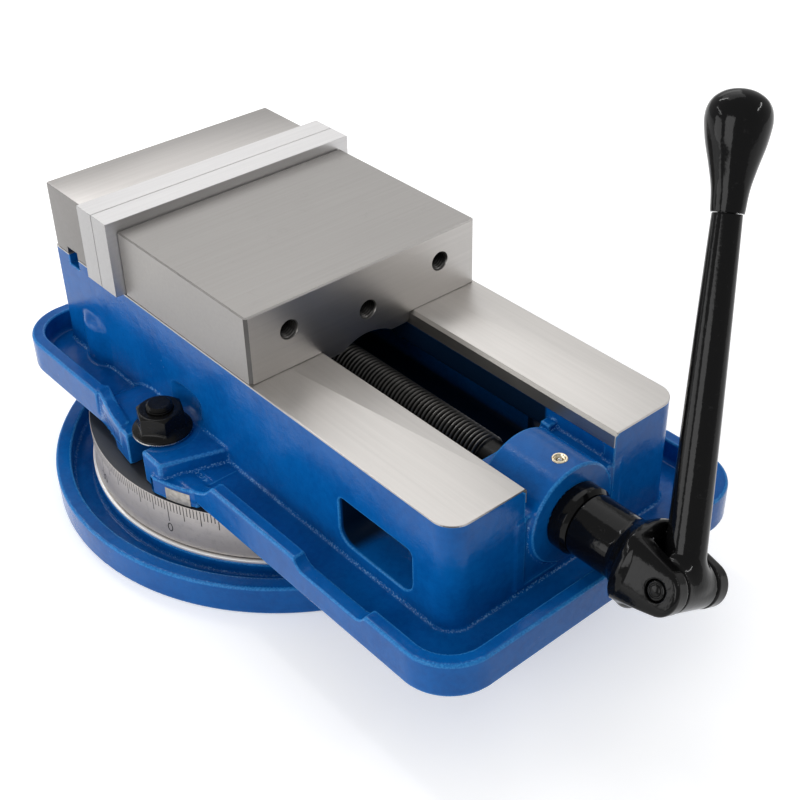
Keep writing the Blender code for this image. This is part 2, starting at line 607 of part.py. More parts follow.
def build_body(materials):
    """The vise body with its tray, lugs, rails, screw boss and every bore, and the small pieces fixed to it."""
    body = stacked(
        "vise_body",
        tray_outline,
        [(TRAY_BOTTOM, 0.8 * MM), (TRAY_BOTTOM + 0.8 * MM, 0.0), (TRAY_RIM - 1.2 * MM, 0.0), (TRAY_RIM - 0.35 * MM, 0.35 * MM), (TRAY_RIM, 1.2 * MM)],
        materials["blue"],
    )
    width = TRAY_RIM_WIDTH
    pocket = stacked(
        "tray_pocket",
        tray_outline,
        [
            (TRAY_FLOOR, width + CAST_FILLET), (TRAY_FLOOR + 0.9 * MM, width + 1.0 * MM), (TRAY_FLOOR + CAST_FILLET, width),
            (TRAY_RIM - 1.0 * MM, width - 0.3 * MM), (TRAY_RIM + 0.2 * MM, width - 1.3 * MM),
        ],
    )
    gap_low = TRAY_FLOOR - 0.0
    rim_gap = [
        (-49.5 * MM - RIM_RAMP, TRAY_RIM + 3 * MM), (-49.5 * MM - RIM_RAMP, TRAY_RIM), (-49.5 * MM - RIM_RAMP * 0.5, TRAY_RIM - 9.0 * MM),
        (-49.5 * MM, gap_low), (38 * MM, gap_low), (38 * MM, TRAY_RIM + 3 * MM),
    ]
    cut(body, pocket)
    for side in (-1.0, 1.0):
        low, high = sorted((side * (TRAY_HALF - TRAY_RIM_WIDTH - 4 * MM), side * (TRAY_HALF + 5 * MM)))
        cut(body, prism(f"rim_gap_{'left' if side < 0 else 'right'}", rim_gap, low, high, seat=SEAT_X))
    core = stacked(
        "rails",
        core_outline,
        [
            (TRAY_BOTTOM + 2 * MM, -CAST_FILLET), (TRAY_FLOOR, -CAST_FILLET), (TRAY_FLOOR + 0.9 * MM, -1.0 * MM),
            (TRAY_FLOOR + CAST_FILLET, 0.0), (RAIL_TOP, 0.0),
        ],
    )
    seat = turned("round_seat", [(0.0, DRUM_TOP + GAP), (SEAT_RADIUS - 1 * MM, DRUM_TOP + GAP), (SEAT_RADIUS, DRUM_TOP + GAP + 1 * MM),
                                 (SEAT_RADIUS, TRAY_FLOOR - 2 * MM), (0.0, TRAY_FLOOR - 2 * MM)], segments=60)
    join(body, core, seat)
    bosses = []
    bolt_y = JAW_LINE + GAP / 2 + PLATE_THICK + GAP + JAW_BOLT_SETBACK
    for side, name in ((-1.0, "left"), (1.0, "right")):
        pieces, slope, shoulder, openings = lug_shapes(side)
        join(body, *pieces)
        cut(body, slope)
        join(body, shoulder)
        cut(body, *openings)
        bosses.append(turned(
            f"bolt_boss_{name}",
            [(0.0, TRAY_FLOOR - 3 * MM), (BOLT_BOSS_RADIUS, TRAY_FLOOR - 3 * MM), (BOLT_BOSS_RADIUS, BOLT_BOSS_TOP - 6 * MM),
             (BOLT_BOSS_RADIUS - 3 * MM, BOLT_BOSS_TOP - 1.5 * MM), (BOLT_BOSS_RADIUS - 7 * MM, BOLT_BOSS_TOP), (0.0, BOLT_BOSS_TOP)],
            seat=Matrix.Translation((side * JAW_BOLT_X, bolt_y, 0.0)),
            segments=32,
        ))
    join(body, *bosses)

    reach = 20 * MM
    channel_front = RAIL_FRONT - reach
    band = RAIL_TOP - CHANNEL_BAND
    relief = CHANNEL_HALF + CHANNEL_RELIEF
    channel = [
        (RAIL_TOP + 5 * MM, -CHANNEL_HALF - RAIL_CHAMFER - 5 * MM), (RAIL_TOP - RAIL_CHAMFER, -CHANNEL_HALF), (band, -CHANNEL_HALF), (band, -relief),
        (CAVITY_FLOOR, -relief), (CAVITY_FLOOR, relief), (band, relief), (band, CHANNEL_HALF), (RAIL_TOP - RAIL_CHAMFER, CHANNEL_HALF),
        (RAIL_TOP + 5 * MM, CHANNEL_HALF + RAIL_CHAMFER + 5 * MM),
    ]
    cavity_half = BODY_HALF - CAVITY_WALL
    cavity = rounded(-cavity_half, cavity_half, CAVITY_FRONT, CAVITY_BACK, (8 * MM,) * 4)
    windows = rounded(
        WINDOW[0], WINDOW[1], WINDOW[2], WINDOW[3],
        (WINDOW_LOW_CORNER, WINDOW_LOW_CORNER, WINDOW_HIGH_CORNER, WINDOW_HIGH_CORNER), steps=6,
    )
    cut(
        body,
        prism("channel", channel, channel_front, CHANNEL_BACK, seat=SEAT_Y),
        prism("cavity", cavity, CAVITY_FLOOR - 0.02 * MM, CAVITY_TOP),
        prism("windows", windows, -BODY_HALF - reach, BODY_HALF + reach, seat=SEAT_X),
    )
    web = block("front_web", (-relief - 4 * MM, RAIL_FRONT + 0.02 * MM, CAVITY_FLOOR - 2 * MM), (relief + 4 * MM, WEB_BACK, WEB_TOP))
    boss = turned(
        "screw_boss",
        [(0.0, 0.0), (BOSS_RADIUS - 1 * MM, 0.0), (BOSS_RADIUS, 1 * MM), (BOSS_RADIUS, BOSS_BACK - BOSS_FRONT - 1 * MM),
         (BOSS_RADIUS - 1 * MM, BOSS_BACK - BOSS_FRONT), (0.0, BOSS_BACK - BOSS_FRONT)],
        seat=along_y(0.0, BOSS_FRONT, SCREW_Z, 1.0),
        segments=40,
    )
    join(body, web, boss)

    bore_end = 12 * MM
    flange = BEARING_RADIUS
    depth = 2 * BEARING_THICK + FLANGE_THICK + 4 * GAP + CAP_SPIGOT
    bore = turned(
        "screw_bore",
        [(0.0, -1 * MM), (flange + GAP, -1 * MM), (flange + GAP, depth), (NECK_RADIUS + RUN, depth),
         (NECK_RADIUS + RUN, WEB_BACK - BOSS_FRONT + bore_end), (0.0, WEB_BACK - BOSS_FRONT + bore_end)],
        seat=along_y(0.0, BOSS_FRONT, SCREW_Z, 1.0),
        segments=32,
    )
    oil = turned(
        "oil_hole",
        [(0.0, SCREW_Z + NECK_RADIUS), (1.5 * MM, SCREW_Z + NECK_RADIUS), (1.5 * MM, SCREW_Z + BOSS_RADIUS - OIL_DEPTH - GAP),
         (OIL_RADIUS + GAP, SCREW_Z + BOSS_RADIUS - OIL_DEPTH - GAP), (OIL_RADIUS + GAP, SCREW_Z + BOSS_RADIUS + 3 * MM),
         (0.0, SCREW_Z + BOSS_RADIUS + 3 * MM)],
        seat=Matrix.Translation((0.0, OIL_Y, 0.0)),
        segments=24,
    )
    pivot = turned(
        "pivot_bore",
        [(0.0, DRUM_TOP - 1 * MM), (PIVOT_RADIUS + GAP, DRUM_TOP - 1 * MM), (PIVOT_RADIUS + GAP, DRUM_TOP + PIVOT_STAND + 1 * MM),
         (0.0, DRUM_TOP + PIVOT_STAND + 1 * MM)],
        segments=32,
    )
    key_back = JAW_LINE + (GAP / 2) + PLATE_THICK + GAP + FIXED_JAW_DEPTH - KEY_FROM_BACK
    keyway = block(
        "body_keyway",
        (-BODY_HALF - reach, key_back - KEY_WIDTH - GAP, RAIL_TOP - KEY_IN_BODY - GAP),
        (BODY_HALF + reach, key_back + GAP, RAIL_TOP + 5 * MM),
    )
    seat_angle = Matrix.Rotation(INDEX_ANGLE, 4, "Z")
    seat_depth = INDEX_RADIUS - INDEX_THICK - GAP
    plate_outline = [(seat_depth, -INDEX_WIDTH / 2 - GAP), (seat_depth + 9 * MM, -INDEX_WIDTH / 2 - GAP),
                     (seat_depth + 9 * MM, INDEX_WIDTH / 2 + GAP), (seat_depth, INDEX_WIDTH / 2 + GAP)]
    index_seat = prism("index_seat", plate_outline, DRUM_TOP - 2 * MM, DRUM_TOP + 2 * GAP + INDEX_HEIGHT + GAP, seat=seat_angle)
    cut(body, bore, oil, pivot, keyway, index_seat)

    plate_low = DRUM_TOP + 2 * GAP
    plate = prism(
        "index_plate",
        [(INDEX_RADIUS - INDEX_THICK, -INDEX_WIDTH / 2), (INDEX_RADIUS, -INDEX_WIDTH / 2),
         (INDEX_RADIUS, INDEX_WIDTH / 2), (INDEX_RADIUS - INDEX_THICK, INDEX_WIDTH / 2)],
        plate_low,
        plate_low + INDEX_HEIGHT,
        materials["bare_plate"],
        seat=seat_angle,
    )
    top = SCREW_Z + BOSS_RADIUS
    cup = turned(
        "oil_cup",
        [(OIL_BALL_RADIUS * 0.7, top - OIL_DEPTH), (OIL_RADIUS, top - OIL_DEPTH), (OIL_RADIUS, top - 0.1 * MM), (OIL_RADIUS - 0.5 * MM, top + 0.4 * MM),
         (OIL_RADIUS - 1.2 * MM, top + 0.4 * MM), (OIL_BALL_RADIUS + GAP, top - 1.0 * MM), (OIL_BALL_RADIUS + GAP, top - OIL_DEPTH + 1.5 * MM),
         (OIL_BALL_RADIUS * 0.7, top - OIL_DEPTH + 1.0 * MM)],
        materials["brass"],
        seat=Matrix.Translation((0.0, OIL_Y, 0.0)),
        segments=32,
        origin=(0.0, OIL_Y, top),
    )
    ball_z = top - 2.4 * MM
    angle = np.linspace(-math.pi / 2, math.pi / 2, 9)
    ball = turned(
        "oil_cup_ball",
        [(OIL_BALL_RADIUS * max(math.cos(a), 0.0), ball_z + OIL_BALL_RADIUS * math.sin(a)) for a in angle],
        materials["steel"],
        seat=Matrix.Translation((0.0, OIL_Y, 0.0)),
        segments=16,
        origin=(0.0, OIL_Y, top),
    )
    return [body, plate, cup, ball]


def build_clamps(materials):
    """The two clamping studs, with their heads in the T-slot, and the flange nuts on them."""
    made = []
    for side, name in ((-1.0, "left"), (1.0, "right")):
        x = side * STUD_X
        turn = math.atan2(STUD_Y, x)
        seat = Matrix.Translation((x, STUD_Y, 0.0)) @ Matrix.Rotation(turn, 4, "Z")
        floor = DRUM_TOP - T_LIP - T_CAVITY
        head_top = DRUM_TOP - T_LIP - GAP
        head_low = head_top - T_HEAD_HEIGHT
        half = T_CAVITY_WIDTH / 2 - T_HEAD_SIDE
        top = LUG_PAD + GAP + NUT_HEIGHT + STUD_ABOVE_NUT
        edge = 1.0 * MM
        stud = turned(
            f"clamp_stud_{name}",
            [(0.0, head_low + 2 * MM), (STUD_RADIUS, head_low + 2 * MM), (STUD_RADIUS, top - edge), (STUD_RADIUS - edge, top), (0.0, top)],
            materials["black_oxide"],
            seat=seat,
            segments=32,
            origin=(x, STUD_Y, 0.0),
        )
        length = T_HEAD_LENGTH / 2
        head = prism(f"stud_head_{name}", rounded(-half, half, -length, length, (1.5 * MM,) * 4, steps=3), max(head_low, floor + GAP), head_top, seat=seat)
        join(stud, head)
        low = LUG_PAD + GAP
        flange = NUT_FLANGE_RADIUS
        bore = STUD_RADIUS + GAP
        corner = NUT_ACROSS_FLATS / math.sqrt(3.0)
        nut = turned(
            f"clamp_nut_{name}",
            [(bore, low), (flange - 0.4 * MM, low), (flange, low + 0.5 * MM), (flange - 0.3 * MM, low + 1.2 * MM), (corner + 0.2 * MM, low + NUT_FLANGE_HEIGHT),
             (NUT_ACROSS_FLATS / 2 - 1.5 * MM, low + NUT_FLANGE_HEIGHT + 0.6 * MM), (bore, low + NUT_FLANGE_HEIGHT + 0.6 * MM)],
            materials["black_oxide"],
            seat=Matrix.Translation((x, STUD_Y, 0.0)),
            segments=24,
            origin=(x, STUD_Y, 0.0),
        )
        prism_part = prism(
            f"nut_hexagon_{name}", hexagon(NUT_ACROSS_FLATS, (x, STUD_Y), math.radians(8.0)), low + 1.5 * MM, low + NUT_HEIGHT
        )
        dome = turned(
            f"nut_dome_{name}",
            [(0.0, low), (corner + 3 * MM, low), (corner + 3 * MM, low + NUT_HEIGHT - 3.4 * MM), (NUT_ACROSS_FLATS / 2 - 0.6 * MM, low + NUT_HEIGHT), (0.0, low + NUT_HEIGHT)],
            seat=Matrix.Translation((x, STUD_Y, 0.0)),
            segments=24,
        )
        combine(prism_part, dome, "INTERSECT")
        bore_tool = turned(
            f"nut_bore_{name}",
            [(0.0, low - 1 * MM), (bore, low - 1 * MM), (bore, low + NUT_HEIGHT + 1 * MM), (0.0, low + NUT_HEIGHT + 1 * MM)],
            seat=Matrix.Translation((x, STUD_Y, 0.0)),
            segments=32,
        )
        join(nut, prism_part)
        cut(nut, bore_tool)
        made += [stud, nut]
    return made


def jaw_plate(name, front, materials, origin):
    """A jaw plate with two counterbored screw holes; front is the y of its clamping face, back the other side."""
    low = RAIL_TOP + PLATE_FOOT
    start, end = sorted((front, front + (PLATE_THICK if name.startswith("fixed") else -PLATE_THICK)))
    outline = rounded(-PLATE_HALF, PLATE_HALF, low, low + PLATE_HEIGHT, (0.5 * MM,) * 4, steps=2)
    swapped = np.column_stack([outline[:, 1], outline[:, 0]])
    return prism(name, swapped, start, end, materials["ground_steel"], seat=SEAT_Y, origin=origin)


def build_fixed_jaw(materials):
    """The fixed jaw, its key, its two bolts from below, its plate and the plate's screws."""
    made = []
    face = JAW_LINE + GAP / 2
    front = face + PLATE_THICK + GAP
    back = front + FIXED_JAW_DEPTH
    low = RAIL_TOP + GAP
    origin = (0.0, front, RAIL_TOP)
    jaw = stacked(
        "fixed_jaw",
        lambda inset: rounded(-BODY_HALF, BODY_HALF, front, back, (0.8 * MM,) * 4, inset, 2),
        [(low, 0.0), (RAIL_TOP + FIXED_JAW_HEIGHT - 0.6 * MM, 0.0), (RAIL_TOP + FIXED_JAW_HEIGHT, 0.6 * MM)],
        materials["ground_steel"],
        origin,
    )
    key_back = back - KEY_FROM_BACK
    reach = 10 * MM
    cut(jaw, block("jaw_keyway", (-BODY_HALF - reach, key_back - KEY_WIDTH - GAP, RAIL_TOP - reach), (BODY_HALF + reach, key_back + GAP, RAIL_TOP + KEY_IN_JAW + GAP)))
    made.append(block(
        "fixed_jaw_key",
        (-KEY_HALF, key_back - KEY_WIDTH, RAIL_TOP - KEY_IN_BODY),
        (KEY_HALF, key_back, RAIL_TOP + KEY_IN_JAW),
        materials["steel"],
        (0.0, key_back - KEY_WIDTH / 2, RAIL_TOP),
    ))
    plate = jaw_plate("fixed_jaw_plate", face, materials, origin)
    for side, name in ((-1.0, "left"), (1.0, "right")):
        x = side * PLATE_SCREW_X
        z = RAIL_TOP + PLATE_SCREW_RISE
        head_under = face + M8[1] + 1.2 * MM
        seat = along_y(x, head_under, z, -1.0)
        made.append(cap_screw(f"fixed_plate_screw_{name}", M8, PLATE_SCREW_LENGTH, seat, materials["black_oxide"], (x, head_under, z)))
        cut(plate, screw_hole(f"fixed_plate_hole_{name}", M8, PLATE_SCREW_LENGTH + 4 * MM, M8[1] + 4 * MM, seat))
        cut(jaw, screw_hole(f"fixed_jaw_hole_{name}", M8, PLATE_SCREW_LENGTH + 1 * MM, 0.0, seat))
    made += [jaw, plate]
    return made


def build_jaw_bolts(body, jaw, materials):
    """The two bolts that hold the fixed jaw from below."""
    made = []
    y = JAW_LINE + GAP / 2 + PLATE_THICK + GAP + JAW_BOLT_SETBACK
    for side, name in ((-1.0, "left"), (1.0, "right")):
        x = side * JAW_BOLT_X
        under = RAIL_TOP + JAW_BOLT_REACH - JAW_BOLT_LENGTH
        seat = frame_of(Vector((x, y, under)), Vector((1.0, 0.0, 0.0)), Vector((0.0, 0.0, -1.0)))
        made.append(cap_screw(f"fixed_jaw_bolt_{name}", M12, JAW_BOLT_LENGTH, seat, materials["black_oxide"], (x, y, under)))
        room = under - DRUM_TOP + 3 * MM
        cut(body, screw_hole(f"bolt_hole_body_{name}", M12, JAW_BOLT_LENGTH + 1 * MM, room, seat))
        cut(jaw, screw_hole(f"bolt_hole_jaw_{name}", M12, JAW_BOLT_LENGTH + 1 * MM, 0.0, seat))
    return made


def build_moving_jaw(materials):
    """The moving jaw with its tongue, plate and screws, and the nut block with what pulls the jaw down."""
    made = []
    face = JAW_LINE - GAP / 2
    front = face - PLATE_THICK - GAP
    rear = front - MOVING_JAW_LENGTH
    low = RAIL_TOP + RUN
    top = RAIL_TOP + MOVING_JAW_HEIGHT
    origin = (0.0, front, RAIL_TOP)
    edge = 0.6 * MM
    jaw = stacked(
        "moving_jaw",
        lambda inset: rounded(-JAW_HALF, JAW_HALF, rear, front, (JAW_CHAMFER, JAW_CHAMFER, 0.5 * MM, 0.5 * MM), inset, 2),
        [(low, 0.0), (top - edge, 0.0), (top, edge)],
        materials["ground_steel"],
        origin,
    )
    half = CHANNEL_HALF - RUN
    floor = RAIL_TOP - TONGUE_DEPTH
    crown = RAIL_TOP - TONGUE_ARCH_RISE
    centre = crown - TONGUE_ARCH_RADIUS
    reach = math.degrees(math.asin((floor - centre) / TONGUE_ARCH_RADIUS))
    arch = arc((0.0, centre), TONGUE_ARCH_RADIUS, reach, 180 - reach, 15)
    corner = TONGUE_CORNER
    left = arc((-half + corner, floor + corner), corner, 270, 180, 5)
    right = arc((half - corner, floor + corner), corner, 0, -90, 5)
    profile = [(half, RAIL_TOP + 3 * MM), *right, *arch, *left, (-half, RAIL_TOP + 3 * MM)]
    tongue = prism("jaw_tongue", [(z, x) for x, z in reversed(profile)], rear + JAW_CHAMFER, front - 6 * MM, seat=SEAT_Y)
    join(jaw, tongue)
    side = HORN_HALF + POCKET_SIDE
    pocket_front = SEGMENT_Y + SEGMENT_RADIUS
    pocket = block("horn_pocket", (-side, POCKET_REAR, RAIL_TOP - 20 * MM), (side, pocket_front, HORN_TOP + 2 * MM))
    lower = block("nut_pocket", (-NUT_HALF - POCKET_SIDE, NUT_FRONT - 2 * MM, RAIL_TOP - 20 * MM), (NUT_HALF + POCKET_SIDE, NUT_BACK + 2 * MM, NUT_TOP + 1 * MM))
    aim = Vector((0.0, 1.0, -1.0)).normalized()
    centre_of = Vector((0.0, SEGMENT_Y, SEGMENT_Z)) + aim * GAP
    segment_seat = frame_of(centre_of, Vector((1.0, 0.0, 0.0)), aim)
    quarter = np.linspace(0.0, math.pi / 2, 8)
    hemisphere = [(0.0, 0.0)] + [(SEGMENT_RADIUS * math.cos(a), SEGMENT_RADIUS * math.sin(a)) for a in quarter[:-1]] + [(0.0, SEGMENT_RADIUS)]
    socket = [(0.0, -1 * MM)] + [((SEGMENT_RADIUS + GAP) * math.cos(a), (SEGMENT_RADIUS + GAP) * math.sin(a)) for a in quarter[:-1]]
    socket = [(0.0, -1 * MM), (SEGMENT_RADIUS + GAP, -1 * MM)] + socket[1:] + [(0.0, SEGMENT_RADIUS + GAP)]
    cut(jaw, pocket, lower, turned("segment_socket", socket, seat=segment_seat, segments=32))
    made.append(turned("pull_down_segment", hemisphere, materials["steel"], segment_seat, 32, tuple(centre_of)))

    for name, x, rise in (("left", -REAR_HOLE_X, REAR_HOLE_RISE), ("middle", 0.0, REAR_HOLE_MIDDLE_RISE), ("right", REAR_HOLE_X, REAR_HOLE_RISE)):
        through = POCKET_REAR - rear + 1 * MM if name == "middle" else REAR_HOLE_DEPTH
        hole = turned(
            f"rear_hole_{name}",
            [(0.0, -1 * MM), (REAR_HOLE_RADIUS + REAR_HOLE_CHAMFER + 1 * MM, -1 * MM), (REAR_HOLE_RADIUS, REAR_HOLE_CHAMFER),
             (REAR_HOLE_RADIUS, through), (0.0, through + REAR_HOLE_RADIUS * 0.58)],
            seat=along_y(x, rear, RAIL_TOP + rise, 1.0),
            segments=32,
        )
        cut(jaw, hole)
    tip = HORN_REAR - GAP
    seat = along_y(0.0, tip, RAIL_TOP + REAR_HOLE_MIDDLE_RISE, -1.0)
    set_screw = turned(
        "nut_set_screw",
        [(0.0, 0.0), (SET_SCREW_RADIUS - 1.2 * MM, 0.0), (SET_SCREW_RADIUS, 1.2 * MM), (SET_SCREW_RADIUS, SET_SCREW_LENGTH + 10 * MM), (0.0, SET_SCREW_LENGTH + 10 * MM)],
        materials["black_oxide"],
        seat,
        32,
        (0.0, tip, RAIL_TOP + REAR_HOLE_MIDDLE_RISE),
    )
    cut(set_screw, prism("set_screw_hexagon", hexagon(4.0 * MM), SET_SCREW_LENGTH + 6 * MM, SET_SCREW_LENGTH + 12 * MM, seat=seat))
    made.append(set_screw)

    plate = jaw_plate("moving_jaw_plate", face, materials, origin)
    for sign, name in ((-1.0, "left"), (1.0, "right")):
        x = sign * PLATE_SCREW_X
        z = RAIL_TOP + PLATE_SCREW_RISE
        head_under = face - M8[1] - 1.2 * MM
        seat = along_y(x, head_under, z, 1.0)
        made.append(cap_screw(f"moving_plate_screw_{name}", M8, PLATE_SCREW_LENGTH, seat, materials["black_oxide"], (x, head_under, z)))
        cut(plate, screw_hole(f"moving_plate_hole_{name}", M8, PLATE_SCREW_LENGTH + 4 * MM, M8[1] + 4 * MM, seat))
        cut(jaw, screw_hole(f"moving_jaw_hole_{name}", M8, PLATE_SCREW_LENGTH + 1 * MM, 0.0, seat))

    reach_down = SEGMENT_Z - NUT_TOP
    reach_up = HORN_TOP - 6 * MM - SEGMENT_Z
    horn = [
        (HORN_REAR, NUT_TOP - 3 * MM), (SEGMENT_Y - reach_down, NUT_TOP - 3 * MM), (SEGMENT_Y - reach_down, NUT_TOP),
        (SEGMENT_Y + reach_up, SEGMENT_Z + reach_up), (SEGMENT_Y + reach_up, HORN_TOP), (HORN_REAR, HORN_TOP),
    ]
    nut = stacked(
        "jaw_nut",
        lambda inset: rounded(-NUT_HALF, NUT_HALF, NUT_FRONT, NUT_BACK, (2 * MM,) * 4, inset, 3),
        [(NUT_BOTTOM, 1 * MM), (NUT_BOTTOM + 1 * MM, 0.0), (NUT_TOP - 1 * MM, 0.0), (NUT_TOP, 1 * MM)],
        materials["cast_iron"],
        (0.0, 0.0, SCREW_Z),
    )
    join(nut, prism("nut_horn", horn, -HORN_HALF, HORN_HALF, seat=SEAT_X))
    cut(nut, turned(
        "nut_thread",
        [(0.0, -1 * MM), (SCREW_RADIUS + 1.5 * MM, -1 * MM), (SCREW_RADIUS + RUN, 1.0 * MM), (SCREW_RADIUS + RUN, NUT_BACK - NUT_FRONT - 1 * MM),
         (SCREW_RADIUS + 1.5 * MM, NUT_BACK - NUT_FRONT + 1 * MM), (0.0, NUT_BACK - NUT_FRONT + 1 * MM)],
        seat=along_y(0.0, NUT_FRONT, SCREW_Z, 1.0),
        segments=32,
    ))
    made += [jaw, plate, nut]
    return made


def build_bearing(materials):
    """The thrust bearings in the boss and the black cap that holds them."""
    seat = along_y(0.0, BOSS_FRONT, SCREW_Z, 1.0)
    inner = NECK_RADIUS + GAP
    outer = BEARING_RADIUS - GAP
    origin = (0.0, BOSS_FRONT, SCREW_Z)
    first = CAP_SPIGOT + GAP
    second = first + BEARING_THICK + FLANGE_THICK + 2 * GAP
    made = []
    for name, start in (("thrust_bearing_front", first), ("thrust_bearing_rear", second)):
        made.append(turned(
            name,
            [(inner, start), (outer, start), (outer, start + BEARING_THICK), (inner, start + BEARING_THICK)],
            materials["steel"], seat, 28, origin,
        ))
    spigot = CAP_SPIGOT
    face = -GAP - CAP_LENGTH
    edge = 1.6 * MM
    made.append(turned(
        "bearing_cap",
        [(NECK_RADIUS + RUN, face), (CAP_RADIUS - edge, face), (CAP_RADIUS, face + edge), (CAP_RADIUS, -GAP - 0.6 * MM), (CAP_RADIUS - 0.6 * MM, -GAP),
         (outer, -GAP), (outer, spigot), (NECK_RADIUS + RUN, spigot)],
        materials["gloss_black"], seat, 40, origin,
    ))
    return made


def build_screw(materials):
    """The lead screw: thread, neck, thrust flange and hexagon end."""
    start = BOSS_FRONT + CAP_SPIGOT + 2 * GAP + BEARING_THICK
    face = BOSS_FRONT - GAP - CAP_LENGTH
    edge = 1.2 * MM
    seat = along_y(0.0, 0.0, SCREW_Z, 1.0)
    origin = (0.0, BOSS_FRONT, SCREW_Z)
    screw = turned(
        "lead_screw",
        [(0.0, face - 2 * MM), (NECK_RADIUS, face - 2 * MM), (NECK_RADIUS, start), (BEARING_RADIUS - 2 * GAP, start), (BEARING_RADIUS - 2 * GAP, start + FLANGE_THICK),
         (NECK_RADIUS, start + FLANGE_THICK), (NECK_RADIUS, THREAD_FRONT - edge), (SCREW_RADIUS, THREAD_FRONT), (SCREW_RADIUS, SCREW_BACK - edge),
         (SCREW_RADIUS - edge, SCREW_BACK), (0.0, SCREW_BACK)],
        materials["screw_steel"], seat, 32, origin,
    )
    turn = along_y(0.0, 0.0, SCREW_Z, 1.0)
    join(screw, prism("screw_hexagon", hexagon(HEX_ACROSS_FLATS - 0.4 * MM, turn=CLEVIS_TURN), face - HEX_LENGTH, face - 1 * MM, seat=turn))
    return [screw]


def clevis_frame():
    """The clevis's own directions: the pin's axis and the direction across it."""
    pin = Vector((math.cos(CLEVIS_TURN), 0.0, -math.sin(CLEVIS_TURN)))
    across = Vector((math.sin(CLEVIS_TURN), 0.0, math.cos(CLEVIS_TURN)))
    return pin, across


def build_socket(materials):
    """The black socket with its clevis, and the clevis pin."""
    pin, across = clevis_frame()
    centre = Vector((0.0, PIN_Y, SCREW_Z))
    back = BOSS_FRONT - GAP - CAP_LENGTH - GAP
    front = back - SOCKET_LENGTH
    origin = tuple(centre)
    bore = HEX_ACROSS_FLATS / math.sqrt(3.0) + GAP
    edge = 0.8 * MM
    root = front - SOCKET_CONE
    seat = along_y(0.0, 0.0, SCREW_Z, 1.0)
    socket = turned(
        "crank_socket",
        [(0.0, root - 4 * MM), (CLEVIS_HALF - 2 * MM, root - 4 * MM), (CLEVIS_HALF + 1.2 * MM, root - 1.5 * MM), (CLEVIS_HALF + 1.2 * MM, root),
         (SOCKET_RADIUS, front), (SOCKET_RADIUS, back - edge), (SOCKET_RADIUS - edge, back), (0.0, back)],
        materials["gloss_black"], seat, 32, origin,
    )
    side_seat = frame_of(centre, Vector((0.0, 1.0, 0.0)), pin)
    length = root - PIN_Y
    taper = math.atan2(CLEVIS_ROOT - CLEVIS_END, length)
    tangent = 90.0 + math.degrees(taper)
    end = arc((0.0, 0.0), CLEVIS_END, tangent, 360.0 - tangent, 17)
    outline = [(length + 3 * MM, -CLEVIS_ROOT), (length + 3 * MM, CLEVIS_ROOT), (length - 3 * MM, CLEVIS_ROOT - 0.2 * MM)]
    outline += end + [(length - 3 * MM, -CLEVIS_ROOT + 0.2 * MM)]
    fork = prism("clevis_fork", outline, -CLEVIS_HALF, CLEVIS_HALF, seat=side_seat)
    envelope = turned(
        "clevis_envelope",
        [(0.0, root + 4 * MM), (CLEVIS_ENVELOPE, root + 4 * MM), (CLEVIS_ENVELOPE, PIN_Y - CLEVIS_END - 5 * MM), (0.0, PIN_Y - CLEVIS_END - 5 * MM)],
        seat=seat, segments=32,
    )
    combine(fork, envelope, "INTERSECT")
    join(socket, fork)
    crotch = (ARM_ROOT_RADIUS + CLEVIS_ROOT * math.sin(ARM_LEAN)) / math.cos(ARM_LEAN) + GAP
    slot_half = HUB_HALF
    slot = [(-CLEVIS_END - 8 * MM, -30 * MM), (0.0, -30 * MM), (crotch, -30 * MM), (crotch, 30 * MM), (-CLEVIS_END - 8 * MM, 30 * MM)]
    cut(
        socket,
        prism("hub_slot", slot, -slot_half, slot_half, seat=side_seat),
        turned("pin_hole", [(0.0, -30 * MM), (PIN_RADIUS + GAP, -30 * MM), (PIN_RADIUS + GAP, 30 * MM), (0.0, 30 * MM)], seat=side_seat, segments=32),
        turned("socket_mouth", [(0.0, back - 3 * MM), (bore, back - 3 * MM), (bore, back + 1 * MM), (0.0, back + 1 * MM)], seat=seat, segments=32),
        prism("socket_hexagon", hexagon(HEX_ACROSS_FLATS, turn=CLEVIS_TURN), back - HEX_LENGTH - 1 * MM, back - 2 * MM, seat=seat),
    )
    pin_half = CLEVIS_HALF - 0.4 * MM
    pin_piece = turned(
        "clevis_pin",
        [(0.0, -pin_half), (PIN_HEAD_RADIUS - 0.5 * MM, -pin_half), (PIN_HEAD_RADIUS, -pin_half + 0.5 * MM), (PIN_RADIUS, -HUB_HALF - 2 * MM), (PIN_RADIUS, HUB_HALF + 2 * MM),
         (PIN_HEAD_RADIUS, pin_half - 0.5 * MM), (PIN_HEAD_RADIUS - 0.5 * MM, pin_half), (0.0, pin_half)],
        materials["gloss_black"], side_seat, 32, origin,
    )
    return [socket, pin_piece]


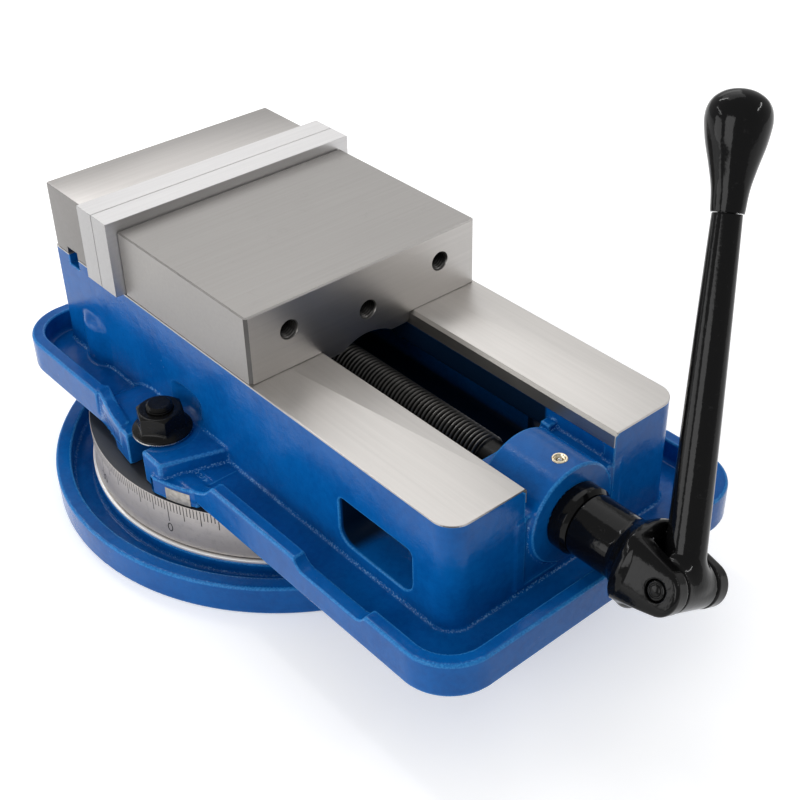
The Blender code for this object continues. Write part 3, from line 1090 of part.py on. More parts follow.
def build_arm(materials):
    """The crank arm with its hub, and the pear-shaped knob."""
    pin, across = clevis_frame()
    centre = Vector((0.0, PIN_Y, SCREW_Z))
    aim = (across * math.cos(ARM_LEAN) + Vector((0.0, 1.0, 0.0)) * math.sin(ARM_LEAN)).normalized()
    origin = tuple(centre)
    side_seat = frame_of(centre, Vector((0.0, 1.0, 0.0)), pin)
    arm_seat = frame_of(centre, pin, aim)
    half = HUB_HALF - HUB_SIDE
    edge = 1.0 * MM
    hub = turned(
        "crank_arm",
        [(0.0, -half), (HUB_RADIUS - edge, -half), (HUB_RADIUS, -half + edge), (HUB_RADIUS, half - edge), (HUB_RADIUS - edge, half), (0.0, half)],
        materials["gloss_black"], side_seat, 36, origin,
    )
    steps = np.linspace(0.0, 1.0, 7)
    taper = [(ARM_ROOT_RADIUS + (ARM_END_RADIUS - ARM_ROOT_RADIUS) * t, 3 * MM + (ARM_LENGTH - 3 * MM) * t) for t in steps]
    shaft = turned("arm_shaft", [(0.0, 3 * MM), *taper, (0.0, ARM_LENGTH)], seat=arm_seat, segments=28)
    shank_hole = turned(
        "knob_hole",
        [(0.0, ARM_LENGTH - KNOB_SHANK_LENGTH - GAP), (KNOB_SHANK_RADIUS + GAP, ARM_LENGTH - KNOB_SHANK_LENGTH - GAP),
         (KNOB_SHANK_RADIUS + GAP, ARM_LENGTH + 1 * MM), (0.0, ARM_LENGTH + 1 * MM)],
        seat=arm_seat, segments=24,
    )
    join(hub, shaft)
    cut(
        hub,
        turned("hub_bore", [(0.0, -20 * MM), (PIN_RADIUS + RUN, -20 * MM), (PIN_RADIUS + RUN, 20 * MM), (0.0, 20 * MM)], seat=side_seat, segments=32),
        shank_hole,
    )
    low = ARM_LENGTH + GAP
    shape = np.array([
        (0.0, KNOB_NECK_RADIUS), (0.04, KNOB_NECK_RADIUS + 0.25 * MM), (0.20, 7.9 * MM), (0.38, 10.0 * MM), (0.55, 12.3 * MM), (0.68, 13.5 * MM),
        (0.76, KNOB_RADIUS), (0.84, 13.1 * MM), (0.91, 11.0 * MM), (0.96, 7.9 * MM), (0.99, 4.0 * MM),
    ])
    body = [(radius, low + KNOB_LENGTH * t) for t, radius in shape]
    knob = turned(
        "crank_knob",
        [(0.0, low - KNOB_SHANK_LENGTH), (KNOB_SHANK_RADIUS, low - KNOB_SHANK_LENGTH), (KNOB_SHANK_RADIUS, low), *body, (0.0, low + KNOB_LENGTH)],
        materials["gloss_black"], arm_seat, 28, origin,
    )
    return [hub, knob]


def joint_empty(name, place, parent=None):
    """An empty on a joint's axis."""
    made = bpy.data.objects.new(name, None)
    made.empty_display_size = 0.02
    made.location = place
    bpy.context.scene.collection.objects.link(made)
    if parent is not None:
        attach(made, parent)
    return made


def attach(item, parent):
    """Parent an item without moving it."""
    bpy.context.view_layer.update()
    item.parent = parent
    item.matrix_parent_inverse = parent.matrix_world.inverted()


def main():
    """Build the vise and group its pieces under empties on the joint axes."""
    clear_scene()
    materials = {
        "blue": finish("blue_enamel", (0.012, 0.085, 0.30), 0.28, 0.0),
        "ground_steel": finish("ground_steel", (0.56, 0.54, 0.51), 0.34, 1.0),
        "bare_plate": finish("bare_plate", (0.50, 0.47, 0.43), 0.45, 1.0),
        "screw_steel": finish("screw_steel", (0.10, 0.095, 0.09), 0.35, 1.0),
        "steel": finish("bright_steel", (0.55, 0.55, 0.54), 0.3, 1.0),
        "cast_iron": finish("cast_iron", (0.16, 0.16, 0.16), 0.6, 1.0),
        "black_oxide": finish("black_oxide", (0.025, 0.025, 0.026), 0.38, 0.6),
        "gloss_black": finish("gloss_black", (0.012, 0.012, 0.013), 0.18, 0.0),
        "brass": finish("oil_cup_brass", (0.72, 0.60, 0.40), 0.35, 1.0),
    }
    build_base(materials)
    body_pieces = build_body(materials)
    fixed = build_fixed_jaw(materials)
    jaw = next(item for item in fixed if item.name == "fixed_jaw")
    on_body = body_pieces + fixed + build_jaw_bolts(body_pieces[0], jaw, materials)
    on_body += build_clamps(materials) + build_bearing(materials)
    moving = build_moving_jaw(materials)
    spinning = build_screw(materials) + build_socket(materials)
    folding = build_arm(materials)

    swivel = joint_empty("swivel_axis", (0.0, 0.0, DRUM_TOP))
    slide = joint_empty("jaw_slide_axis", (0.0, JAW_LINE, RAIL_TOP), swivel)
    spin = joint_empty("screw_axis", (0.0, BOSS_FRONT, SCREW_Z), swivel)
    fold = joint_empty("crank_fold_axis", (0.0, PIN_Y, SCREW_Z), spin)
    for group, parent in ((on_body, swivel), (moving, slide), (spinning, spin), (folding, fold)):
        for item in group:
            attach(item, parent)


main()
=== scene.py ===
"""The look of a swivel milling vise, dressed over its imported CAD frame.

Cast and forged pieces are signed distance fields whose fillets run into each other as they do on a casting,
skinned with surface nets. Turned pieces are lathed from profiles with rounded edges, the lead screw is swept
along its helix, and ground blocks are lofted and drilled. Every size is in millimetres in the CAD's frame:
origin on the swivel axis at the underside of the base, -Y towards the operator, +Z up.
"""

import logging
import math
from collections.abc import Callable, Sequence
from dataclasses import dataclass
from enum import Enum

import bpy
import numpy as np
from mathutils import Matrix, Vector


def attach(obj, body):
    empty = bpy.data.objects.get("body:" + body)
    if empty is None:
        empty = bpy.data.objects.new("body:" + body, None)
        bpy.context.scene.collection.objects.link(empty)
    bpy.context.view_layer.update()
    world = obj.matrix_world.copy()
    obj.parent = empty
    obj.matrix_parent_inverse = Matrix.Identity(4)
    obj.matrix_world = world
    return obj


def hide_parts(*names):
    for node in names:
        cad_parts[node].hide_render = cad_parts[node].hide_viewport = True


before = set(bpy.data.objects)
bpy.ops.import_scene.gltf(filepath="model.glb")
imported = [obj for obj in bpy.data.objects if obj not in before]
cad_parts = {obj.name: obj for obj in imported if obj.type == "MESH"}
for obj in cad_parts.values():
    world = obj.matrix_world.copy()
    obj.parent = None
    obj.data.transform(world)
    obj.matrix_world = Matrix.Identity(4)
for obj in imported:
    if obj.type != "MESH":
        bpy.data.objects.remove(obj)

LOG = logging.getLogger("milling_vise")
Array = np.ndarray
Material = bpy.types.Material
Piece = bpy.types.Object
Numbers = Sequence[float]
Points = Sequence[Sequence[float]]
Pair = tuple[float, float]
Triple = tuple[float, float, float]
CENTRE = (0.0, 0.0)
BLACK = (0.0, 0.0, 0.0)
BACKWARDS = (0.0, 1.0, 0.0)
WELD_METRES = 2e-6
PER_METRE = 0.001
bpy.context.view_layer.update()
ALONG_Y = Matrix(((0, 1, 0, 0), (0, 0, 1, 0), (1, 0, 0, 0), (0, 0, 0, 1)))


class Axis(Enum):
    """A direction that a finish or a form runs along."""

    X = 0
    Y = 1
    Z = 2


class Body(Enum):
    """The CAD bodies that pieces ride on."""

    BASE = "base"
    VISE = "vise"
    JAW = "jaw"
    SCREW = "screw"
    CRANK = "crank"
    LEFT_CLAMP = "left_clamp"
    RIGHT_CLAMP = "right_clamp"


# Signed distance fields


class Form:
    """A solid given by its signed distance in millimetres: negative inside, positive outside."""

    def __init__(self, distance: Callable[[Array, Array, Array], Array]) -> None:
        """Keep the distance function.

        Args:
            distance: gives the signed distance at coordinates x, y and z.
        """
        self.distance = distance

    def __call__(self, x: Array, y: Array, z: Array) -> Array:
        """The signed distance at the coordinates."""
        return self.distance(x, y, z)

    def join(self, other: "Form", fillet: float = 0.0) -> "Form":
        """The union. Where both distances are under the fillet, their quarter circle takes over the corner.

        Args:
            other: the form to add.
            fillet: radius of the concave fillet where the two meet.

        Returns:
            The joined form.
        """
        if fillet <= 0.0:
            return Form(lambda x, y, z: np.minimum(self(x, y, z), other(x, y, z)))

        def distance(x: Array, y: Array, z: Array) -> Array:
            near, far = self(x, y, z), other(x, y, z)
            corner = np.hypot(np.maximum(fillet - near, 0.0), np.maximum(fillet - far, 0.0))
            return np.maximum(fillet, np.minimum(near, far)) - corner

        return Form(distance)

    def clip(self, other: "Form", rounding: float = 0.0) -> "Form":
        """The intersection, with its convex edge rounded.

        Args:
            other: the form to keep inside of.
            rounding: radius of the rounded edge.

        Returns:
            The clipped form.
        """
        if rounding <= 0.0:
            return Form(lambda x, y, z: np.maximum(self(x, y, z), other(x, y, z)))

        def distance(x: Array, y: Array, z: Array) -> Array:
            near, far = self(x, y, z), other(x, y, z)
            corner = np.hypot(np.maximum(rounding + near, 0.0), np.maximum(rounding + far, 0.0))
            return np.minimum(-rounding, np.maximum(near, far)) + corner

        return Form(distance)

    def carve(self, other: "Form", rounding: float = 0.0) -> "Form":
        """The difference, with the edge of the hollow rounded.

        Args:
            other: the form to take away.
            rounding: radius of the rounded edge.

        Returns:
            The carved form.
        """
        return self.clip(Form(lambda x, y, z: -other(x, y, z)), rounding)


def above(level: float, axis: Axis = Axis.Z) -> Form:
    """The half space past a level along an axis."""
    return Form(lambda x, y, z: level - (x, y, z)[axis.value])


def below(level: float, axis: Axis = Axis.Z) -> Form:
    """The half space before a level along an axis."""
    return Form(lambda x, y, z: (x, y, z)[axis.value] - level)


def slab(low: float, high: float, axis: Axis = Axis.Z) -> Form:
    """The space between two levels along an axis."""
    middle, half = (low + high) / 2, (high - low) / 2
    return Form(lambda x, y, z: np.abs((x, y, z)[axis.value] - middle) - half)


def wide(half: float) -> Form:
    """The space within a half width of the middle plane."""
    return Form(lambda x, y, z: np.abs(x) - half)


def beyond(half: float) -> Form:
    """The space outside a half width of the middle plane."""
    return Form(lambda x, y, z: half - np.abs(x))


def plane(point: Numbers, outward: Numbers) -> Form:
    """The half space behind a plane that is mirrored left to right: x counts as its absolute value.

    Args:
        point: a point on the plane.
        outward: its normal, of any length, pointing out of the solid.

    Returns:
        The half space.
    """
    normal = np.asarray(outward, dtype=float) / np.linalg.norm(outward)
    offset = float(normal @ np.asarray(point, dtype=float))
    return Form(lambda x, y, z: np.abs(x) * normal[0] + y * normal[1] + z * normal[2] - offset)


def pillar(centre: Pair, radius: float, axis: Axis = Axis.Z, mirrored: bool = False) -> Form:
    """A round bar without ends.

    Args:
        centre: its place in the two other coordinates, in X, Y, Z order.
        radius: its radius.
        axis: the direction it runs along.
        mirrored: whether x counts as its absolute value, which gives one bar on each side.

    Returns:
        The bar.
    """

    def distance(x: Array, y: Array, z: Array) -> Array:
        side = np.abs(x) if mirrored else x
        pair = {Axis.X: (y, z), Axis.Y: (side, z), Axis.Z: (side, y)}[axis]
        return np.hypot(pair[0] - centre[0], pair[1] - centre[1]) - radius

    return Form(distance)


def column(left: float, right: float, front: float, back: float, corners: Pair, axis: Axis = Axis.Z) -> Form:
    """A rectangular bar without ends, with a radius for its front corners and one for its back corners.

    Args:
        left: its low limit in the first of the two other coordinates.
        right: its high limit there.
        front: its low limit in the second.
        back: its high limit there.
        corners: corner radius on the low and on the high side of the second coordinate.
        axis: the direction it runs along.

    Returns:
        The bar. Past a corner's centre the distance is that from a circle, elsewhere from the nearest side.
    """
    centre = ((left + right) / 2, (front + back) / 2)
    half = ((right - left) / 2, (back - front) / 2)

    def distance(x: Array, y: Array, z: Array) -> Array:
        first, second = {Axis.X: (y, z), Axis.Y: (x, z), Axis.Z: (x, y)}[axis]
        radius = np.where(second < centre[1], corners[0], corners[1])
        across = np.abs(first - centre[0]) - half[0] + radius
        along = np.abs(second - centre[1]) - half[1] + radius
        outside = np.hypot(np.maximum(across, 0.0), np.maximum(along, 0.0))
        return np.minimum(np.maximum(across, along), 0.0) + outside - radius

    return Form(distance)


@dataclass
class Skin:
    """A mesh in the making: points in millimetres, four-cornered faces, and each point's normal and bend."""

    points: Array
    faces: Array
    normals: Array | None = None
    bend: Array | None = None

    def part(self, chosen: Array) -> "Skin":
        """The chosen faces alone, with their own points."""
        used, local = np.unique(self.faces[chosen], return_inverse=True)
        return Skin(self.points[used], local.reshape(-1, 4), self.normals[used], self.bend[used])

    def placed(self, seat: Matrix) -> "Skin":
        """The same skin carried from its own frame into the seat's place.

        Args:
            seat: a matrix of turn and place, in millimetres.

        Returns:
            The moved skin.
        """
        turn = np.array(seat)
        points = self.points @ turn[:3, :3].T + turn[:3, 3]
        normals = None if self.normals is None else self.normals @ turn[:3, :3].T
        return Skin(points, self.faces, normals, self.bend)


def gradient(form: Form, points: Array, step: float) -> Array:
    """The distance's slope at each point, from differences over a step to both sides along each axis."""
    x, y, z = points.T
    slope = np.stack(
        [
            form(x + step, y, z) - form(x - step, y, z),
            form(x, y + step, z) - form(x, y - step, z),
            form(x, y, z + step) - form(x, y, z - step),
        ],
        axis=1,
    )
    return slope / (2.0 * step)


def bend_of(form: Form, points: Array, step: float) -> Array:
    """How sharply the surface bends at each point, above 0 on outer edges and below 0 in inner corners.

    It is the distance's second difference: the values a step away to both sides along each axis, less six
    times the value at the point, over the step squared.
    """
    x, y, z = points.T
    total = -6.0 * form(x, y, z)
    for dx, dy, dz in np.eye(3) * step:
        total = total + form(x + dx, y + dy, z + dz) + form(x - dx, y - dy, z - dz)
    return total / (step * step)


def skin_of(form: Form, low: Numbers, high: Numbers, cell: float) -> Skin:
    """Skin a form with surface nets.

    The distance is sampled on a grid. Each cell whose corners lie on both sides gets one point, the mean of
    the places where the surface crosses its edges, slid down the distance's slope onto the surface. Each
    crossed grid edge gets a face between the four cells around it. Normals are the slope at the points.

    Args:
        form: the solid.
        low: lowest corner of the grid.
        high: highest corner of the grid.
        cell: the grid's spacing.

    Returns:
        The skin.
    """
    low = np.asarray(low, dtype=np.float64)
    counts = np.ceil((np.asarray(high) - low) / cell).astype(int) + 1
    axes = [low[k] + cell * np.arange(counts[k]) for k in range(3)]
    grid = np.meshgrid(*axes, indexing="ij", sparse=True)
    values = np.broadcast_to(form(*[side.astype(np.float32) for side in grid]), counts).astype(np.float32)
    inside = values < 0.0

    corners = np.array([(a, b, c) for a in (0, 1) for b in (0, 1) for c in (0, 1)])
    number = np.zeros(counts - 1, dtype=np.int8)
    for a, b, c in corners:
        number += inside[a : counts[0] - 1 + a, b : counts[1] - 1 + b, c : counts[2] - 1 + c]
    active = (number > 0) & (number < 8)
    index = np.full(counts - 1, -1, dtype=np.int64)
    index[active] = np.arange(int(active.sum()))
    cells = np.argwhere(active)

    total = np.zeros((len(cells), 3))
    crossings = np.zeros(len(cells))
    for start in corners:
        for axis in range(3):
            if start[axis]:
                continue
            end = start.copy()
            end[axis] = 1
            first = values[tuple((cells + start).T)].astype(float)
            second = values[tuple((cells + end).T)].astype(float)
            crossed = (first < 0) != (second < 0)
            share = np.where(crossed, first / np.where(crossed, first - second, 1.0), 0.0)
            place = start + share[:, None] * (end - start)
            total += place * crossed[:, None]
            crossings += crossed
    points = low + (cells + total / crossings[:, None]) * cell

    for _ in range(2):
        slope = gradient(form, points, 0.04)
        reach = form(*points.T) / np.maximum((slope**2).sum(axis=1), 0.25)
        points = points - slope * np.clip(reach, -0.45 * cell, 0.45 * cell)[:, None]
    normals = gradient(form, points, 0.12 * cell + 0.03)
    normals /= np.maximum(np.linalg.norm(normals, axis=1), 1e-9)[:, None]

    faces = []
    for axis in range(3):
        after, last = (axis + 1) % 3, (axis + 2) % 3
        here = [slice(None)] * 3
        there = [slice(None)] * 3
        here[axis], there[axis] = slice(0, -1), slice(1, None)
        change = inside[tuple(here)] != inside[tuple(there)]
        nodes = np.argwhere(change)
        keep = np.ones(len(nodes), dtype=bool)
        for side in (after, last):
            keep &= (nodes[:, side] > 0) & (nodes[:, side] < counts[side] - 1)
        nodes = nodes[keep]
        outward = inside[tuple(nodes.T)]
        ring = []
        for step_after, step_last in ((1, 1), (0, 1), (0, 0), (1, 0)):
            around = nodes.copy()
            around[:, after] -= step_after
            around[:, last] -= step_last
            ring.append(index[tuple(around.T)])
        quad = np.stack(ring, axis=1)
        quad[~outward] = quad[~outward][:, ::-1]
        faces.append(quad)
    return Skin(points, np.concatenate(faces), normals, bend_of(form, points, 0.6))


# Profiles, lathes, sweeps and blocks


def softened(outline: Points, radii: float | Numbers, steps: int = 4) -> Array:
    """Round the corners of an outline.

    At each corner the two sides are cut back by radius / tan(half the corner's angle), and the gap is filled
    with a quadratic curve whose middle control point is the old corner.

    Args:
        outline: corner points of two coordinates.
        radii: one radius, or one for each corner.
        steps: sections of each rounded corner.

    Returns:
        The rounded outline.
    """
    points = np.asarray(outline, dtype=float)
    count = len(points)
    radii = np.broadcast_to(radii, count)
    made: list[Array] = []
    for k in range(count):
        here = points[k]
        if radii[k] <= 0:
            made.append(here[None])
            continue
        back, ahead = points[k - 1] - here, points[(k + 1) % count] - here
        back_length, ahead_length = np.linalg.norm(back), np.linalg.norm(ahead)
        cosine = float(np.clip(back @ ahead / (back_length * ahead_length), -1.0, 1.0))
        half = math.acos(cosine) / 2
        cutback = min(radii[k] / max(math.tan(half), 1e-6), 0.48 * back_length, 0.48 * ahead_length)
        start, end = here + back / back_length * cutback, here + ahead / ahead_length * cutback
        t = np.linspace(0.0, 1.0, steps + 1)[:, None]
        made.append((1 - t) ** 2 * start + 2 * t * (1 - t) * here + t**2 * end)
    return np.concatenate(made)


def around(radius: Array | float, angle: Array | float, height: Array | float) -> Array:
    """Points at a radius, an angle and a height about Z."""
    return np.stack(np.broadcast_arrays(radius * np.cos(angle), radius * np.sin(angle), height), axis=-1)


def quads(row: Array, above_row: Array, step: Array, after: Array, columns: int) -> Array:
    """The faces between two rows and two columns of a grid of points, for all of them at once."""
    low, high = row * columns, above_row * columns
    return np.stack([low + step, low + after, high + after, high + step], axis=-1)


def lathe(profile: Points, segments: int = 96) -> Skin:
    """Turn a closed profile about Z.

    Each point makes a ring at even angles, and each side of the profile a band of faces. The profile runs
    counterclockwise with the radius to the right and the height up, so the faces look outwards. Points on the
    axis make a ring of no width, whose faces are merged later.

    Args:
        profile: points of radius and height.
        segments: number of points around.

    Returns:
        The skin, without normals.
    """
    line = np.asarray(profile, dtype=float)
    count = len(line)
    angle = np.linspace(0.0, 2 * math.pi, segments, endpoint=False)
    radius, height = line[:, :1], line[:, 1:]
    points = around(radius, angle, height)
    ring = np.arange(count)[:, None]
    turn = np.arange(segments)[None, :]
    faces = quads(ring, (ring + 1) % count, turn, (turn + 1) % segments, segments)
    on_axis = (line[:, 0] < 1e-6) & (np.roll(line[:, 0], -1) < 1e-6)
    return Skin(points.reshape(-1, 3), faces[~on_axis].reshape(-1, 4))


def grid_faces(rows: int, columns: int) -> Array:
    """Faces over a grid of points in rows, each of which closes on itself."""
    row = np.arange(rows - 1)[:, None]
    step = np.arange(columns)[None, :]
    return quads(row, row + 1, step, (step + 1) % columns, columns).reshape(-1, 4)


def rounded_rectangle(
    left: float, right: float, front: float, back: float, corners: Numbers, inset: float = 0.0, steps: int = 8
) -> Array:
    """A rectangle's outline, counterclockwise from its front left corner, with a radius for each corner.

    Each corner is an arc of even angle steps about its centre, whose radius shrinks with the inset.
    """
    left, right, front, back = left + inset, right - inset, front + inset, back - inset
    made = []
    places = ((left, front, 1, 1), (right, front, -1, 1), (right, back, -1, -1), (left, back, 1, -1))
    for (x, y, sx, sy), radius, start in zip(places, corners, (180, 270, 0, 90)):
        radius = max(radius - inset, 0.02)
        angle = np.radians(np.linspace(start, start + 90, steps))
        across, along = x + sx * radius, y + sy * radius
        made.append(np.column_stack([across + radius * np.cos(angle), along + radius * np.sin(angle)]))
    return np.concatenate(made)


def stack(outlines: Sequence[Array], levels: Numbers) -> Skin:
    """Loft outlines of equal length at rising levels along Z. The two ends are closed by the mesh maker."""
    rings = [np.insert(outline, 2, level, axis=1) for outline, level in zip(outlines, levels)]
    return Skin(np.concatenate(rings), grid_faces(len(rings), len(outlines[0])))


def seat_of(first: Numbers, second: Numbers, third: Numbers, place: Numbers) -> Matrix:
    """The matrix whose columns are three directions and a place."""
    return Matrix([*zip(first, second, third, place), (0.0, 0.0, 0.0, 1.0)])


def seat_along(place: Numbers, aim: Numbers, side: Numbers) -> Matrix:
    """A seat in millimetres whose own Z runs along aim and whose own X lies along side.

    Args:
        place: where the seat's origin lies.
        aim: direction of its Z.
        side: direction of its X, which is squared up to Z.

    Returns:
        The seat as a matrix.
    """
    third = Vector(aim).normalized()
    first = Vector(side)
    first = (first - third * first.dot(third)).normalized()
    return seat_of(first, third.cross(first), third, place)


class Workshop:
    """Makes mesh objects from skins and hands them to the frame."""

    def __init__(self) -> None:
        """Start with an empty list of pieces."""
        self.made: list[Piece] = []

    @staticmethod
    def raw(name: str, skin: Skin, caps: int = 0) -> Piece:
        """A plain mesh object in metres.

        Args:
            name: the object's name.
            skin: its points and faces.
            caps: for a loft, the number of points in its outline, whose two ends are then closed.

        Returns:
            The object, in no collection's render yet.
        """
        mesh = bpy.data.meshes.new(name)
        points = skin.points * PER_METRE
        loops = skin.faces.reshape(-1)
        starts = np.arange(len(skin.faces)) * 4
        if caps:
            first = np.arange(caps)[::-1]
            last = np.arange(len(points) - caps, len(points))
            starts = np.concatenate([starts, [len(loops), len(loops) + caps]])
            loops = np.concatenate([loops, first, last])
        mesh.vertices.add(len(points))
        mesh.vertices.foreach_set("co", points.astype(np.float32).reshape(-1))
        mesh.loops.add(len(loops))
        mesh.loops.foreach_set("vertex_index", loops.astype(np.int32))
        mesh.polygons.add(len(starts))
        mesh.polygons.foreach_set("loop_start", starts.astype(np.int32))
        mesh.update(calc_edges=True)
        made = bpy.data.objects.new(name, mesh)
        bpy.context.scene.collection.objects.link(made)
        return made

    @staticmethod
    def applied(made: Piece) -> Piece:
        """The piece with its modifiers worked into a new mesh."""
        old = made.data
        graph = bpy.context.evaluated_depsgraph_get()
        mesh = bpy.data.meshes.new_from_object(made.evaluated_get(graph))
        made.modifiers.clear()
        made.data = mesh
        bpy.data.meshes.remove(old)
        return made

    @classmethod
    def weld(cls, made: Piece) -> Piece:
        """The piece with its coincident points merged."""
        made.modifiers.new("merge", "WELD").merge_threshold = WELD_METRES
        return cls.applied(made)

    def finish(
        self,
        made: Piece,
        body: Body,
        material: Material,
        slot: str,
        replaced: Sequence[str] = (),
        sharp: float | None = 32.0,
        normals: Array | None = None,
    ) -> Piece:
        """Clean a mesh, shade it, give it its material and its place in the frame.

        Args:
            made: the mesh object.
            body: the CAD body that it rides on.
            material: its material.
            slot: the record's material slot; not used.
            replaced: CAD nodes that it stands for.
            sharp: edges over this angle in degrees stay sharp; None leaves the given normals.
            normals: a normal for each point, for skins of distance fields.

        Returns:
            The finished object.
        """
        mesh = made.data
        if normals is None:
            mesh.validate()
            mesh = self.weld(made).data
            mesh.name = made.name
            mesh.shade_smooth()
            if sharp is not None:
                mesh.set_sharp_from_angle(angle=math.radians(sharp))
        else:
            mesh.shade_smooth()
            mesh.normals_split_custom_set_from_vertices(normals.astype(float).tolist())
        mesh.materials.clear()
        mesh.materials.append(material)
        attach(made, body.value)
        if replaced:
            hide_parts(*replaced)
        self.made.append(made)
        return made

    def cast(
        self, name: str, skin: Skin, body: Body, material: Material, slot: str, replaced: Sequence[str] = ()
    ) -> Piece:
        """A piece from a distance field's skin, shaded with the field's own normals."""
        made = self.raw(name, skin)
        made.data.attributes.new("bend", "FLOAT", "POINT").data.foreach_set(
            "value", skin.bend.astype(np.float32)
        )
        return self.finish(made, body, material, slot, replaced, normals=skin.normals)

    def turned(
        self,
        name: str,
        profile: Points,
        seat: Matrix,
        body: Body,
        material: Material,
        slot: str,
        replaced: Sequence[str] = (),
        segments: int = 96,
        sharp: float = 32.0,
    ) -> Piece:
        """A piece lathed from its profile about the seat's Z."""
        return self.finish(
            self.raw(name, lathe(profile, segments).placed(seat)), body, material, slot, replaced, sharp
        )

    @staticmethod
    def drill(target: Piece, tools: Sequence[Piece], operation: str = "DIFFERENCE") -> Piece:
        """Apply exact Booleans and remove the tools.

        Args:
            target: the object that is cut or added to.
            tools: the closed meshes to cut or add.
            operation: DIFFERENCE, UNION or INTERSECT.

        Returns:
            The target with a new mesh.
        """
        for tool in tools:
            modifier = target.modifiers.new(tool.name, "BOOLEAN")
            modifier.operation = operation
            modifier.solver = "EXACT"
            modifier.object = tool
        Workshop.applied(target)
        for tool in tools:
            mesh = tool.data
            bpy.data.objects.remove(tool)
            bpy.data.meshes.remove(mesh)
        return target


# Procedural materials


class Value:
    """A shader socket with arithmetic: sums, products and the like add Math or Vector Math nodes."""

    def __init__(self, graph: "Graph", socket: bpy.types.NodeSocket) -> None:
        """Wrap a socket of a graph."""
        self.graph = graph
        self.socket = socket

    def _math(self, operation: str, other: "Value | float") -> "Value":
        """The result of a Math node on this value and the other."""
        return self.graph.math(operation, self, other)

    def __add__(self, other: "Value | float") -> "Value":
        return self._math("ADD", other)

    __radd__ = __add__

    def __sub__(self, other: "Value | float") -> "Value":
        return self._math("SUBTRACT", other)

    def __rsub__(self, other: float) -> "Value":
        return self.graph.math("SUBTRACT", other, self)

    def __mul__(self, other: "Value | float") -> "Value":
        return self._math("MULTIPLY", other)

    __rmul__ = __mul__

    def __truediv__(self, other: "Value | float") -> "Value":
        return self._math("DIVIDE", other)

    def ramp(self, start: float, end: float) -> "Value":
        """0 before start, 1 past end, and a smooth step between them."""
        return self.graph.add(
            "ShaderNodeMapRange", "Result", interpolation_type="SMOOTHSTEP", Value=self, From_Min=start,
            From_Max=end,
        )


